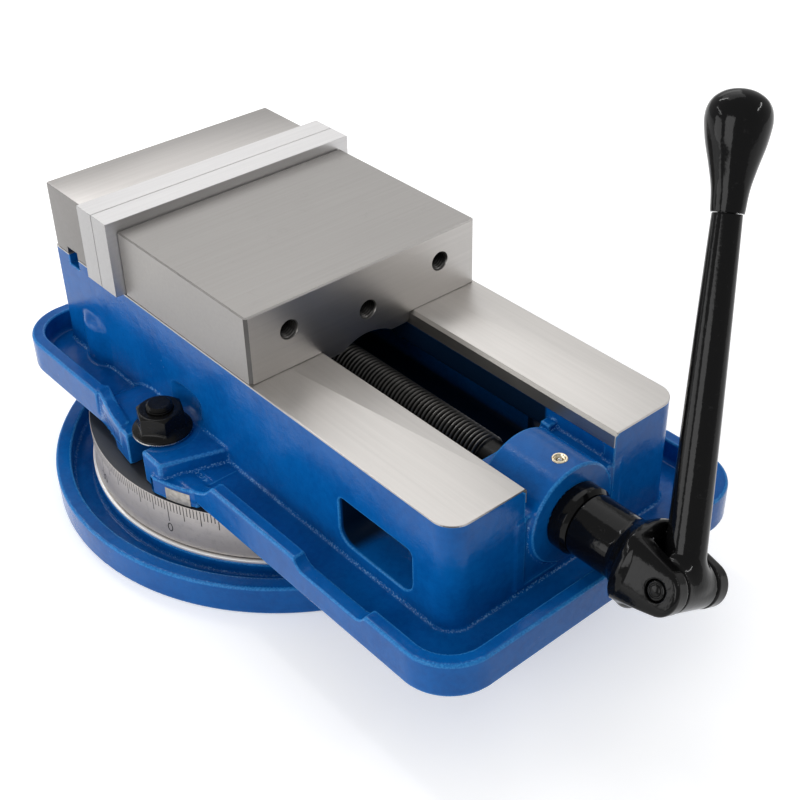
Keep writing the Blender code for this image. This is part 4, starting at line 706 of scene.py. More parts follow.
class Graph:
    """The node tree of one material."""

    def __init__(self, name: str) -> None:
        """Make a material with an empty tree."""
        self.material = bpy.data.materials.new(name)
        self.material.use_nodes = True
        self.tree = self.material.node_tree
        self.tree.nodes.clear()

    def add(self, kind: str, output: str | int = 0, **settings: object) -> Value:
        """Add a node.

        Args:
            kind: the node's type.
            output: name or number of the output that is wanted.
            settings: socket values, with _ for a space, and the node's own properties in lower case.

        Returns:
            The wanted output.
        """
        node = self.tree.nodes.new(kind)
        for key, value in settings.items():
            if key[0].islower():
                setattr(node, key, value)
        for key, value in settings.items():
            if not key[0].islower():
                self.link(value, node.inputs[key.replace("_", " ")])
        return Value(self, node.outputs[output])

    def link(self, value: object, socket: bpy.types.NodeSocket) -> None:
        """Join a value to a socket, or set the socket's own number or colour."""
        if isinstance(value, Value):
            self.tree.links.new(value.socket, socket)
        else:
            socket.default_value = value

    def math(self, operation: str, *terms: "Value | float") -> Value:
        """A Math node on one or two terms."""
        node = self.tree.nodes.new("ShaderNodeMath")
        node.operation = operation
        for term, socket in zip(terms, node.inputs):
            self.link(term, socket)
        return Value(self, node.outputs[0])

    def millimetres(self, stretch: Numbers = (1.0, 1.0, 1.0)) -> Value:
        """The object's own coordinates in millimetres, stretched along each axis."""
        place = self.add("ShaderNodeTexCoord", "Object")
        scale = tuple(1000.0 * factor for factor in stretch)
        return self.add("ShaderNodeMapping", "Vector", Vector=place, Scale=scale)

    def noise(
        self, place: Value, scale: float, detail: float = 2.0, roughness: float = 0.5, distortion: float = 0.0
    ) -> Value:
        """Noise between 0 and 1 with about this many lumps a millimetre."""
        return self.add(
            "ShaderNodeTexNoise", "Fac", Vector=place, Scale=scale, Detail=detail, Roughness=roughness,
            Distortion=distortion,
        )

    def cells(self, place: Value, scale: float) -> Value:
        """Distance to the nearest of randomly strewn points, about this many a millimetre."""
        return self.add("ShaderNodeTexVoronoi", "Distance", Vector=place, Scale=scale)

    def blend(self, share: "Value | float", first: object, second: object) -> Value:
        """A colour between two, by a share of the second."""
        node = self.tree.nodes.new("ShaderNodeMix")
        node.data_type = "RGBA"
        self.link(share, node.inputs[0])
        for value, socket in ((first, node.inputs[6]), (second, node.inputs[7])):
            self.link(value if isinstance(value, Value) else (*value, 1.0), socket)
        return Value(self, node.outputs[2])

    def bump(self, height: Value, distance: float, under: Value | None = None) -> Value:
        """A normal bent by a height between 0 and 1.

        Args:
            height: the height field.
            distance: what a height of 1 is worth, in millimetres.
            under: the normal that this one builds on.

        Returns:
            The bent normal.
        """
        settings = {"Height": height, "Distance": distance * PER_METRE}
        if under is not None:
            settings["Normal"] = under
        return self.add("ShaderNodeBump", "Normal", **settings)

    def facing(self, axis: Axis) -> Value:
        """How far the true surface faces along an axis: 1 for a face square to it, 0 for one along it."""
        return self.math("ABSOLUTE", self.part(self.add("ShaderNodeNewGeometry", "True Normal"), axis))

    def part(self, vector: Value, axis: Axis) -> Value:
        """One coordinate of a vector."""
        parts = self.tree.nodes.new("ShaderNodeSeparateXYZ")
        self.link(vector, parts.inputs[0])
        return Value(self, parts.outputs[axis.value])

    def parts(self, vector: Value) -> tuple[Value, Value, Value]:
        """All three coordinates of a vector."""
        return tuple(self.part(vector, axis) for axis in Axis)

    def length(self, first: Value, second: Value) -> Value:
        """The length of a vector of two coordinates."""
        return self.math("SQRT", first * first + second * second)

    def seen(self) -> Value:
        """1 for what is seen straight, mirrored or through glass, and 0 for light that falls on things."""
        kinds = ("Camera", "Glossy", "Transmission")
        straight, mirrored, through = (self.add("ShaderNodeLightPath", f"Is {kind} Ray") for kind in kinds)
        return self.math("MAXIMUM", straight, self.math("MAXIMUM", mirrored, through))

    def surface(self, **settings: object) -> Material:
        """Close the tree with a Principled shader and return the material."""
        shader = self.add("ShaderNodeBsdfPrincipled", "BSDF", **settings)
        out = self.tree.nodes.new("ShaderNodeOutputMaterial")
        self.link(shader, out.inputs["Surface"])
        return self.material


@dataclass(frozen=True)
class CastEnamel:
    """Glossy enamel over a sand-cast skin: orange peel, low lumps and a few pits, darker where thick."""

    name: str = "blue_cast_enamel"
    colour: Triple = (0.0014, 0.104, 0.375)
    thick: Triple = (0.0008, 0.074, 0.290)
    # Colour of the painted shade in the channel, the cavity and the window.
    inside: Triple = (0.0008, 0.010, 0.030)
    # Colour of the painted highlight on outer edges, which also stands for the thinner paint there.
    edge: Triple = (0.035, 0.255, 0.60)
    # Colour of the painted glints in inner corners.
    glint: Triple = (0.16, 0.40, 0.70)
    roughness: float = 0.13
    peel: float = 0.030
    lumps: float = 0.045
    pits: float = 0.06
    # Where the painted shade lies: the cavity's half width, front, back, bottom and top, then the window's
    # half width, front and back.
    hollow: tuple[float, ...] = (53.0, -163.0, 54.5, 50.0, 103.6)
    window: Triple = (69.9, -146.0, -128.0)

    def build(self) -> Material:
        """The material."""
        graph = Graph(self.name)
        place = graph.millimetres()
        peel = graph.noise(place, 0.85, 2.0, 0.55)
        sand = graph.noise(place, 0.30, 3.0, 0.60, 0.3)
        broad = graph.noise(place, 0.035, 2.0, 0.5)
        pit = 1.0 - graph.cells(place, 0.16).ramp(0.02, 0.16)
        patch = graph.noise(place, 0.045, 1.0).ramp(0.42, 0.66)
        swell = graph.noise(place, 0.11, 2.0, 0.5)
        normal = graph.bump(swell, 0.22)
        normal = graph.bump(sand, self.lumps * 2.2, under=normal)
        normal = graph.bump(peel, self.peel * 2.2, under=normal)
        normal = graph.bump(1.0 - pit * patch, self.pits, under=normal)
        colour = graph.blend((sand * 0.55 + broad * 0.65).ramp(0.35, 0.80), self.thick, self.colour)
        colour = graph.blend(pit * patch * 0.5, colour, self.thick)
        # Painted shade: the channel and cavity between the rails and the window's far side are darkened
        # towards the inside colour, and made rougher.
        x, y, z = graph.parts(place)
        side = graph.math("ABSOLUTE", x)
        half, front, back, bottom, top = self.hollow
        across = (half - side).ramp(0.0, 2.4)
        along = (y - front).ramp(0.0, 2.0) * (back - y).ramp(0.0, 2.0)
        height = (top - z).ramp(0.0, 1.2) * (z - bottom).ramp(0.0, 3.0)
        half, front, back = self.window
        reveal = (half - side).ramp(0.0, 1.5) * (y - front).ramp(0.0, 9.0) * (back - y).ramp(0.0, 1.0)
        painted_shade = graph.math("MAXIMUM", across * along, reveal) * height
        # Painted highlight: outer edges, where the surface bends most, are lightened in speckles, together
        # with the thinner paint on them.
        bend = graph.add("ShaderNodeAttribute", "Fac", attribute_name="bend")
        speck = graph.noise(place, 1.1, 2.0, 0.6)
        edge = bend.ramp(0.22, 0.62) * (0.30 + speck.ramp(0.35, 0.65) * 0.45)
        # Painted highlight: speckled glints along inner corners, where the bend is below 0.
        glint = (0.0 - bend).ramp(0.38, 0.62) * speck.ramp(0.50, 0.62) * 0.60
        colour = graph.blend(edge, colour, self.edge)
        colour = graph.blend(glint, colour, self.glint)
        colour = graph.blend(painted_shade, colour, self.inside)
        roughness = self.roughness + peel * 0.10 + pit * patch * 0.15 + painted_shade * 0.30
        return graph.surface(
            Base_Color=colour, Roughness=roughness, Metallic=0.0, Normal=normal, Specular_IOR_Level=0.17
        )


@dataclass(frozen=True)
class GroundSteel:
    """Ground steel: fine straight wheel lines along one axis, a faint cloudiness and a few handling marks."""

    name: str
    along: Axis
    colour: Triple = (0.63, 0.605, 0.575)
    roughness: float = 0.34
    lines: float = 0.0005
    cloud: float = 0.06
    # Painted shade: the brightness kept on faces along X, Y and Z.
    sides: Triple = (1.0, 1.0, 1.0)
    # Bores whose insides get painted shade: their X and Z, the face they open in, and their reach.
    bores: tuple[Pair, ...] = ()
    bore_face: float = 0.0
    bore_reach: float = 6.8

    def build(self) -> Material:
        """The material. Each pair of sides is darkened by its own share, a painted shade by the way they
        face.
        """
        graph = Graph(self.name)
        stretch = [3.2, 3.2, 3.2]
        stretch[self.along.value] = 0.028
        fine = graph.noise(graph.millimetres(stretch), 1.0, 3.0, 0.7)
        stretch = [0.55, 0.55, 0.55]
        stretch[self.along.value] = 0.012
        bands = graph.noise(graph.millimetres(stretch), 1.0, 2.0, 0.5)
        cloud = graph.noise(graph.millimetres(), 0.022, 2.0, 0.5)
        mark = 1.0 - graph.noise(graph.millimetres((0.10, 0.10, 0.10)), 1.0, 4.0, 0.75, 1.5).ramp(0.33, 0.40)
        light = tuple(min(1.0, part * 1.05) for part in self.colour)
        dark = tuple(part * 0.95 for part in self.colour)
        colour = graph.blend((fine * 0.5 + bands * 0.5).ramp(0.25, 0.75), dark, light)
        # Painted shade: rounded upright corners, which face both X and Y, are darkened.
        corner = (graph.facing(Axis.X) * graph.facing(Axis.Y)).ramp(0.30, 0.45)
        colour = graph.blend(corner * 0.75, colour, BLACK)
        colour = graph.blend(cloud.ramp(0.35, 0.70) * self.cloud * 2.0, colour, dark)
        # Painted shade: faces along an axis are darkened by one less their tone.
        for axis, tone in zip(Axis, self.sides):
            if tone < 1.0:
                colour = graph.blend(graph.facing(axis).ramp(0.35, 0.75) * (1.0 - tone), colour, BLACK)
        # Painted shade: the tapped bores are darkened behind their face, more deeply further in.
        if self.bores:
            x, y, z = graph.parts(graph.millimetres())
            near = 99.0
            for across, up in self.bores:
                near = graph.math("MINIMUM", graph.length(x - across, z - up), near)
            hollow = (self.bore_reach - near).ramp(0.0, 0.3) * (y - self.bore_face).ramp(0.5, 1.6)
            colour = graph.blend(hollow * (0.80 + (y - self.bore_face).ramp(1.0, 9.0) * 0.18), colour, BLACK)
        roughness = self.roughness + (fine - 0.5) * 0.06 + (cloud - 0.5) * self.cloud + mark * 0.05
        normal = graph.bump(fine, self.lines * 2.0)
        return graph.surface(Base_Color=colour, Roughness=roughness, Metallic=1.0, Normal=normal)


@dataclass(frozen=True)
class TurnedSteel:
    """Lathe-turned steel: fine rings about an upright axis, with painted shade on its flat top and in the
    undercut and a painted highlight on the shoulder ring.
    """

    name: str = "turned_drum_steel"
    colour: Triple = (0.56, 0.52, 0.49)
    # Colour of the painted shade on the flat top.
    dark: Triple = (0.030, 0.032, 0.036)
    roughness: float = 0.40

    def build(self) -> Material:
        """The material. Distance from the swivel axis and height together number the rings."""
        graph = Graph(self.name)
        place = graph.millimetres()
        x, y, z = graph.parts(place)
        radius = graph.length(x, y)
        ring = graph.add("ShaderNodeCombineXYZ", "Vector", X=radius * 2.6, Y=z * 2.6, Z=0.0)
        lines = graph.noise(ring, 1.0, 3.0, 0.7)
        cloud = graph.noise(place, 0.08, 3.0, 0.6)
        stain = graph.noise(place, 0.30, 4.0, 0.65)
        # Painted shade: the flat top of the drum, under the tray, is darkened.
        top = graph.facing(Axis.Z).ramp(0.6, 0.9) * (z - 24.0).ramp(0.0, 4.0)
        colour = graph.blend(
            (lines * 0.6 + cloud * 0.4).ramp(0.2, 0.8), tuple(part * 0.80 for part in self.colour),
            self.colour
        )
        colour = graph.blend(
            stain.ramp(0.50, 0.72) * 0.35, colour, tuple(part * 0.55 for part in self.colour)
        )
        colour = graph.blend(top, colour, self.dark)
        low = (18.0 - z).ramp(0.0, 0.6)
        # Painted highlight: the shoulder ring's outer edge is near white.
        ring = (radius - 111.1).ramp(0.0, 0.3) * low
        colour = graph.blend(ring, colour, (0.92, 0.91, 0.89))
        # Painted shade: the undercut above the shoulder is near black.
        colour = graph.blend((110.5 - radius).ramp(0.0, 0.4) * low, colour, (0.004, 0.004, 0.004))
        roughness = self.roughness + (lines - 0.5) * 0.15 + (cloud - 0.5) * 0.12
        normal = graph.bump(lines, 0.010)
        return graph.surface(Base_Color=colour, Roughness=roughness, Metallic=0.40, Normal=normal)


@dataclass(frozen=True)
class BlackFinish:
    """A black skin over steel: enamel with a soft orange peel, or the drier black oxide of a nut."""

    name: str
    colour: Triple = (0.0022, 0.0022, 0.0024)
    worn: Triple = (0.014, 0.014, 0.014)
    roughness: float = 0.10
    metallic: float = 0.0
    peel: float = 0.028
    scale: float = 0.42
    shine: float = 0.17

    def build(self) -> Material:
        """The material."""
        graph = Graph(self.name)
        place = graph.millimetres()
        peel = graph.noise(place, self.scale, 2.0, 0.5)
        grit = graph.noise(place, 2.2, 3.0, 0.6)
        scuff = graph.noise(graph.millimetres((0.35, 0.35, 0.35)), 1.0, 5.0, 0.7, 1.0).ramp(0.60, 0.72)
        colour = graph.blend(scuff * 0.6 + grit * 0.12, self.colour, self.worn)
        roughness = self.roughness + scuff * 0.18 + (grit - 0.5) * 0.05
        normal = graph.bump(peel, self.peel * 2.0)
        normal = graph.bump(grit, self.peel * 0.12, under=normal)
        return graph.surface(
            Base_Color=colour, Roughness=roughness, Metallic=self.metallic, Normal=normal,
            Specular_IOR_Level=self.shine
        )


@dataclass(frozen=True)
class PlainMetal:
    """A machined metal with cloudy tone and fine grit, for small pieces."""

    name: str
    colour: Triple
    shade: Triple
    roughness: float = 0.30
    metallic: float = 1.0
    grain: float = 1.6
    relief: float = 0.006

    def build(self) -> Material:
        """The material."""
        graph = Graph(self.name)
        place = graph.millimetres()
        cloud = graph.noise(place, self.grain * 0.25, 3.0, 0.6)
        grit = graph.noise(place, self.grain * 2.0, 3.0, 0.6)
        colour = graph.blend(cloud.ramp(0.30, 0.70), self.shade, self.colour)
        roughness = self.roughness + (grit - 0.5) * 0.16 + (cloud - 0.5) * 0.10
        return graph.surface(
            Base_Color=colour, Roughness=roughness, Metallic=self.metallic,
            Normal=graph.bump(grit, self.relief),
        )


@dataclass(frozen=True)
class ScrewSteel:
    """Oiled screw steel: near black in the roots and brighter on the thread's crests and on the neck."""

    name: str = "oiled_screw_steel"
    root: Triple = (0.010, 0.010, 0.010)
    crest: Triple = (0.10, 0.097, 0.092)
    height: float = 83.6
    low: float = 9.6
    high: float = 10.5

    def build(self) -> Material:
        """The material. Distance from the screw's axis parts the crests from the roots."""
        graph = Graph(self.name)
        place = graph.millimetres()
        x, _, z = graph.parts(place)
        radius = graph.length(x, z - self.height)
        smear = graph.noise(place, 0.35, 3.0, 0.6)
        crest = (radius + (smear - 0.5) * 0.5).ramp(self.low, self.high)
        colour = graph.blend(crest, self.root, self.crest)
        roughness = 0.30 + smear * 0.14
        return graph.surface(
            Base_Color=colour, Roughness=roughness, Metallic=0.85, Normal=graph.bump(smear, 0.02)
        )


@dataclass(frozen=True)
class Finishes:
    """Every finish of the vise, built once."""

    enamel: Material
    rail: Material
    band: Material
    moving: Material
    fixed: Material
    plate: Material
    drum: Material
    mark: Material
    index: Material
    gloss: Material
    oxide: Material
    screw: Material
    bright: Material
    iron: Material
    nickel: Material

    @classmethod
    def build(cls) -> "Finishes":
        """Build all of them."""
        rail, fixed, plate = (0.54, 0.52, 0.50), (0.50, 0.48, 0.465), (0.66, 0.65, 0.65)
        oxide, worn = (0.006, 0.006, 0.006), (0.035, 0.033, 0.031)
        recipes = {
            "enamel": CastEnamel(),
            "rail": GroundSteel("ground_rail_steel", Axis.Y, rail, 0.40, sides=(0.8, 0.8, 1.0)),
            "band": GroundSteel("machined_band_steel", Axis.Y, (0.50, 0.48, 0.45), 0.42, 0.001, 0.25),
            "moving": GroundSteel(
                "ground_moving_jaw_steel", Axis.X, (0.48, 0.462, 0.445), 0.38, sides=(0.66, 1.0, 0.66),
                bores=((-46.8, 133.4), (46.8, 133.4), (0.0, 124.6)), bore_face=-68.15,
            ),
            "fixed": GroundSteel("ground_fixed_jaw_steel", Axis.X, fixed, 0.40, sides=(0.44, 0.6, 1.0)),
            "plate": GroundSteel("ground_plate_steel", Axis.X, plate, 0.40, sides=(0.62, 0.85, 1.0)),
            "drum": TurnedSteel(),
            "mark": PlainMetal("scale_ink", (0.012, 0.012, 0.012), (0.03, 0.028, 0.026), 0.55, 0.0),
            "index": PlainMetal("index_plate_steel", (0.50, 0.47, 0.43), (0.33, 0.31, 0.28), 0.42),
            "gloss": BlackFinish("gloss_black_enamel"),
            "oxide": BlackFinish("black_oxide_steel", oxide, worn, 0.24, 0.35, 0.008, 1.1, 0.20),
            "screw": ScrewSteel(),
            "bright": PlainMetal("bright_machined_steel", (0.60, 0.60, 0.59), (0.45, 0.45, 0.44), 0.26),
            "iron": PlainMetal("machined_cast_iron", (0.20,) * 3, (0.12,) * 3, 0.50, 0.9, 1.0, 0.02),
            "nickel": PlainMetal("oil_cup_nickel_brass", (0.80, 0.72, 0.55), (0.62, 0.54, 0.38), 0.24),
        }
        return cls(**{name: recipe.build() for name, recipe in recipes.items()})


class Assembly:
    """A sub-assembly that builds its pieces in the workshop."""

    def __init__(self, shop: Workshop, finishes: Finishes) -> None:
        """Keep the workshop and the finishes."""
        self.shop = shop
        self.finishes = finishes


# The casting


@dataclass(frozen=True)
class TraySizes:
    """The chip tray and the rails that stand in it."""

    half: float = 98.1
    front: float = -232.5
    back: float = 127.4
    bottom: float = 46.8
    floor: float = 52.8
    rim: float = 65.5
    rim_width: float = 7.2
    corners: Pair = (26.0, 28.0)
    rail_half: float = 70.9
    rail_front: float = -205.6
    rail_back: float = 113.5
    rail_top: float = 112.2
    rail_corners: Pair = (11.0, 2.0)
    rail_bottom: float = 48.0
    bolt: Pair = (58.0, 82.35)
    bolt_boss: float = 17.5
    bolt_bore: float = 6.4
    bolt_head: float = 9.6
    bolt_seat: float = 70.6
    pivot: float = 12.2
    pivot_top: float = 56.2
    seat_radius: float = 101.0
    seat_bottom: float = 42.5


@dataclass(frozen=True)
class LugSizes:
    """The clamping lugs at the tray's sides, given for the right one."""

    pad: float = 61.2
    pad_bottom: float = 47.3
    foot: Pair = (42.5, 53.5)
    foot_back: float = 21.0
    shelf: Pair = (42.52, 52.8)
    shelf_ends: Pair = (-51.0, -24.0)
    crest: Pair = (50.0, 65.4)
    crest_ends: Pair = (9.0, 41.0)
    inner: float = 60.0
    out: float = 104.4
    front: float = -31.4
    stud: Pair = (86.5, -6.9)
    slot: float = 7.8
    pocket: float = 20.0
    pocket_top: float = 79.0
    ledge: float = 109.8
    plate_angle: float = 202.05
    plate_width: float = 14.4
    plate_radius: float = 110.1


@dataclass(frozen=True)
class ChannelSizes:
    """The channel between the rails, the windows and the screw's boss."""

    half: float = 27.4
    band: float = 8.1
    relief: float = 28.8
    floor: float = 57.0
    back: float = 52.0
    chamfer: float = 1.5
    cavity: tuple[float, float, float, float] = (-52.0, 52.0, -166.0, 40.0)
    cavity_top: float = 90.0
    window: tuple[float, float, float, float] = (-181.0, -131.3, 60.4, 85.8)
    window_corners: Pair = (7.4, 3.2)
    web_back: float = -163.0
    web_top: float = 95.0
    axis: float = 83.6
    boss: float = 25.3
    boss_front: float = -207.7
    boss_back: float = -172.4
    keyway: Pair = (89.25, 99.05)
    keyway_floor: float = 105.9
    oil: Pair = (0.0, -198.1)
    oil_bore: float = 2.9
    oil_bottom: float = 102.5
    screw_bore: float = 9.6
    screw_end: float = -149.0
    bearing_bore: float = 15.4
    bearing_end: float = -188.5
    web_half: float = 32.8
    web_bottom: float = 55.0
    ear: Pair = (27.0, 3.6)
    ear_ends: Pair = (-169.5, -163.5)
    ear_levels: Pair = (90.0, 98.4)


class ViseBody(Assembly):
    """The blue casting with its ground strips, index plate, oil cup and the fixed jaw's seat."""

    tray = TraySizes()
    lug = LugSizes()
    channel = ChannelSizes()

    def tray_form(self) -> Form:
        """The tray with its trough, its rim lowered beside the lugs, and the rails' block on its floor."""
        t = self.tray
        width = t.rim_width
        tray = column(-t.half, t.half, t.front, t.back, t.corners)
        tray = tray.clip(above(t.bottom), 1.4).clip(below(t.rim), 1.5)
        inner = tuple(corner - width for corner in t.corners)
        trough = column(-t.half + width, t.half - width, t.front + width, t.back - width, inner)
        tray = tray.carve(trough.clip(above(t.floor), 2.6), 1.2)
        lowered = above(t.floor).clip(plane((0, -66.5, 65.5), (0, -1.0, -0.86)), 9.0)
        lowered = lowered.clip(below(38.0, Axis.Y)).clip(beyond(self.lug.stud[0]))
        tray = tray.carve(lowered, 1.4)
        rails = column(-t.rail_half, t.rail_half, t.rail_front, t.rail_back, t.rail_corners)
        rails = rails.clip(slab(t.rail_bottom, t.rail_top - 0.35), 0.3)
        seat = pillar(CENTRE, t.seat_radius).clip(slab(t.seat_bottom, 50.0), 0.8)
        return tray.join(rails, 1.8).join(seat)

    def lug_form(self) -> Form:
        """Both lugs: pad, foot on the drum, ledge over the scale and the rim's sloping shoulder."""
        g = self.lug
        front = plane((103.7, g.front, 0), (10.6, -32.3, 0))
        first = plane((104.3, 10, 0), (14.0, 1.9, 0))
        second = plane((102.4, 24, 0), (13.0, 4.4, 0))
        inner = beyond(g.inner)
        outer = wide(g.out).clip(first, 6.0).clip(second, 8.0)
        pad = below(g.pad).clip(plane((0, 34.0, g.pad), (0, 8.4, 13.0)), 5.0)
        pad = pad.clip(front, 1.8).clip(outer, 1.8).clip(above(g.pad_bottom)).clip(inner)
        foot = slab(*g.foot).clip(front, 1.0).clip(outer, 1.0)
        foot = foot.clip(below(g.foot_back, Axis.Y), 4.0).clip(inner)
        ledge = pillar(CENTRE, g.ledge).clip(slab(*g.shelf), 1.0)
        ledge = ledge.clip(slab(*g.shelf_ends, Axis.Y), 0.6).clip(inner)
        low, high = g.crest
        crest = plane((0, 37.0, high), (0, -3.9, 27.0)).clip(plane((89.7, 37.0, 0), (-27.0, -6.4, 0)), 1.4)
        crest = crest.clip(below(high), 1.2).clip(outer, 1.5)
        crest = crest.clip(slab(*g.crest_ends, Axis.Y), 1.0).clip(above(low))
        return pad.join(foot).join(ledge, 1.2).join(crest, 2.0)

    def form(self) -> Form:
        """The whole casting, with every opening and bore."""
        t, g, c = self.tray, self.lug, self.channel
        body = self.tray_form().join(self.lug_form(), 1.5)
        boss = pillar(t.bolt, t.bolt_boss, Axis.Z, True).clip(slab(50.0, 80.0), 6.0)
        body = body.join(boss, 2.4)
        x, y = g.stud
        slot = pillar(g.stud, g.slot, Axis.Z, True).join(slab(y - g.slot, y + g.slot, Axis.Y).clip(beyond(x)))
        pocket = pillar(g.stud, g.pocket, Axis.Z, True).clip(slab(g.pad, g.pocket_top), 5.0)
        body = body.carve(pocket, 1.6).carve(slot, 1.0)
        relief = wide(c.relief).clip(slab(c.floor, t.rail_top - c.band), 2.5)
        relief = relief.clip(above(t.rail_front + 5.5, Axis.Y), 3.0)
        arris = wide(c.half + c.chamfer + 0.5).clip(above(t.rail_top - 1.9))
        channel = relief.join(wide(c.half + 0.3).clip(above(c.floor), 2.0)).join(arris)
        channel = channel.clip(slab(t.rail_front - 3.0, c.back, Axis.Y))
        cavity = column(*c.cavity, (8.0, 8.0)).clip(slab(c.floor, c.cavity_top), 4.0)
        window = column(*c.window, c.window_corners, Axis.X)
        body = body.carve(channel, 0.5).carve(cavity, 2.0).carve(window, 0.8)
        web = wide(c.web_half).clip(slab(t.rail_front + 0.1, c.web_back, Axis.Y), 1.0)
        web = web.clip(slab(c.web_bottom, c.web_top), 1.2)
        ears = Form(lambda x, y, z: np.abs(np.abs(x) - c.ear[0]) - c.ear[1])
        corner = slab(*c.ear_ends, Axis.Y).clip(ears, 0.8).clip(slab(*c.ear_levels), 1.0)
        tube = pillar((0.0, c.axis), c.boss, Axis.Y).clip(slab(c.boss_front, c.boss_back, Axis.Y), 1.2)
        body = body.join(web, 1.8).join(corner, 1.0).join(tube, 2.0)
        cuts = [
            pillar((0.0, c.axis), c.screw_bore, Axis.Y).clip(below(c.screw_end, Axis.Y)),
            pillar((0.0, c.axis), c.bearing_bore, Axis.Y).clip(below(c.bearing_end, Axis.Y)),
            pillar(c.oil, c.oil_bore).clip(above(c.oil_bottom)),
            pillar(CENTRE, t.pivot).clip(below(t.pivot_top)),
            slab(*c.keyway, Axis.Y).clip(above(c.keyway_floor)),
            pillar(t.bolt, t.bolt_bore, Axis.Z, True).clip(below(130.0)),
            pillar(t.bolt, t.bolt_head, Axis.Z, True).clip(below(t.bolt_seat)),
        ]
        for cut in cuts:
            body = body.carve(cut)
        return body

    def build_casting(self) -> None:
        """Skin the casting and part it into four meshes, which share their borders' points and normals."""
        skin = skin_of(self.form(), (-106.6, -235.2, 40.6), (106.6, 130.2, 113.4), 1.0)
        middle = skin.points[skin.faces].mean(axis=1)[:, 1]
        borders = (-300.0, -165.0, -75.0, 20.0, 300.0)
        for number, (low, high) in enumerate(zip(borders, borders[1:])):
            part = skin.part((middle >= low) & (middle < high))
            replaced = () if number else ("vise_body",)
            LOG.info("body casting %d: %d triangles", number, 2 * len(part.faces))
            self.shop.cast(
                f"body_casting_{number}", part, Body.VISE, self.finishes.enamel, "blue_enamel", replaced
            )

    def build_strips(self) -> None:
        """The ground strips on the rails, and the machined band with its chamfer along the channel."""
        t, c = self.tray, self.channel
        inner = c.half + c.chamfer
        bottom = t.rail_top - 0.8
        for side, name in ((-1.0, "left"), (1.0, "right")):
            for part, front, back, corners in (
                ("front", t.rail_front, c.keyway[0], (0.2, t.rail_corners[0], 0.2, 0.2)),
                ("back", c.keyway[1], t.rail_back, (0.2, 0.2, t.rail_corners[1], 0.2)),
            ):
                outlines = []
                for inset in (0.0, 0.0, 0.06, 0.25):
                    outline = rounded_rectangle(
                        inner, t.rail_half + 0.03, front - 0.03, back, corners, inset, 14
                    )
                    outlines.append(outline if side > 0 else (outline * (-1.0, 1.0))[::-1])
                skin = stack(outlines, (bottom, t.rail_top - 0.25, t.rail_top - 0.07, t.rail_top))
                made = self.shop.raw(f"rail_strip_{name}_{part}", skin, len(outlines[0]))
                self.shop.finish(made, Body.VISE, self.finishes.rail, "ground_steel", sharp=20.0)
            wall = c.half
            outline = np.array([
                (wall, t.rail_top - c.band), (wall + 2.6, t.rail_top - c.band),
                (wall + 2.6, t.rail_top - 0.1),
                (inner + 0.02, t.rail_top), (wall, t.rail_top - c.chamfer),
            ])
            swapped = outline[::-1, ::-1] if side > 0 else outline[:, ::-1] * (1.0, -1.0)
            skin = stack([swapped, swapped], (t.rail_front + 0.25, c.back)).placed(ALONG_Y)
            made = self.shop.raw(f"channel_band_{name}", skin, len(outline))
            self.shop.finish(made, Body.VISE, self.finishes.band, "ground_steel", sharp=20.0)

    def build_index_plate(self) -> None:
        """The small steel plate over the scale, curved to the drum, with softened edges."""
        g = self.lug
        half = math.degrees(g.plate_width / 2 / g.plate_radius)
        angle = np.radians(np.linspace(g.plate_angle + half, g.plate_angle - half, 13))
        rings = []
        low, high, radius = 42.8, 50.3, g.plate_radius
        section = softened(
            [(radius - 1.4, low), (radius, low), (radius, high), (radius - 1.4, high)], 0.22, 3
        )
        for turn in angle:
            rings.append(around(section[:, 0], turn, section[:, 1]))
        skin = Skin(np.concatenate(rings), grid_faces(len(rings), len(section)))
        made = self.shop.raw("index_plate_curved", skin, len(section))
        self.shop.finish(made, Body.VISE, self.finishes.index, "bare_plate", ("index_plate",), sharp=50.0)

    def build_oil_cup(self) -> None:
        """The oil cup pressed into the boss: a rolled rim, a dished face and a spring-loaded ball."""
        x, y = self.channel.oil
        top = self.channel.axis + self.channel.boss
        seat = Matrix.Translation((x, y, top))
        profile = softened(
            [
                (0.0, -5.9), (3.70, -5.9), (3.70, 0.15), (3.35, 0.42), (2.75, 0.38),
                (2.35, -0.25), (1.75, -0.45), (1.45, -1.1), (1.40, -2.6), (0.0, -2.6),
            ],
            (0, 0.2, 0.25, 0.2, 0.2, 0.25, 0.2, 0.2, 0.1, 0), 3,
        )
        self.shop.turned(
            "oil_cup_rim", profile, seat, Body.VISE, self.finishes.nickel, "oil_cup_brass", ("oil_cup",), 64,
            50.0,
        )
        arc = np.linspace(-math.pi / 2, math.pi / 2, 17)
        ball = np.column_stack([1.30 * np.cos(arc), -1.35 + 1.30 * np.sin(arc)])
        self.shop.turned(
            "oil_cup_check_ball", ball, seat, Body.VISE, self.finishes.bright, "bright_steel",
            ("oil_cup_ball",), 32, 80.0,
        )

    def build(self) -> None:
        """Build every piece of the body."""
        self.build_casting()
        self.build_strips()
        self.build_index_plate()
        self.build_oil_cup()


@dataclass(frozen=True)
class BaseSizes:
    """The round base and its graduated drum."""

    radius: float = 132.4
    rim_width: float = 8.3
    rim_top: float = 17.0
    trough: float = 7.0
    shoulder: float = 112.45
    drum: float = 110.75
    drum_bottom: float = 16.6
    drum_top: float = 42.2
    zero: float = 198.47
    degree: float = 5.6
    five: float = 9.4
    long: float = 12.6
    mark_width: float = 0.50
    digit: Pair = (1.35, 2.45)
    digit_height: float = 25.2
    digit_step: float = 3.6
    stroke_half: float = 0.34
    hold_down: float = 121.5
    hold_down_half: float = 6.75
    pad: tuple[float, float, float, float] = (17.0, 8.5, 6.0, 16.4)
    drum_foot: float = 14.3
    recess: Triple = (80.2, 33.2, 5.0)
    bore: float = 12.3
    neck: float = 7.2
    wide: float = 12.2
    lip: float = 10.0
    depth: float = 20.0


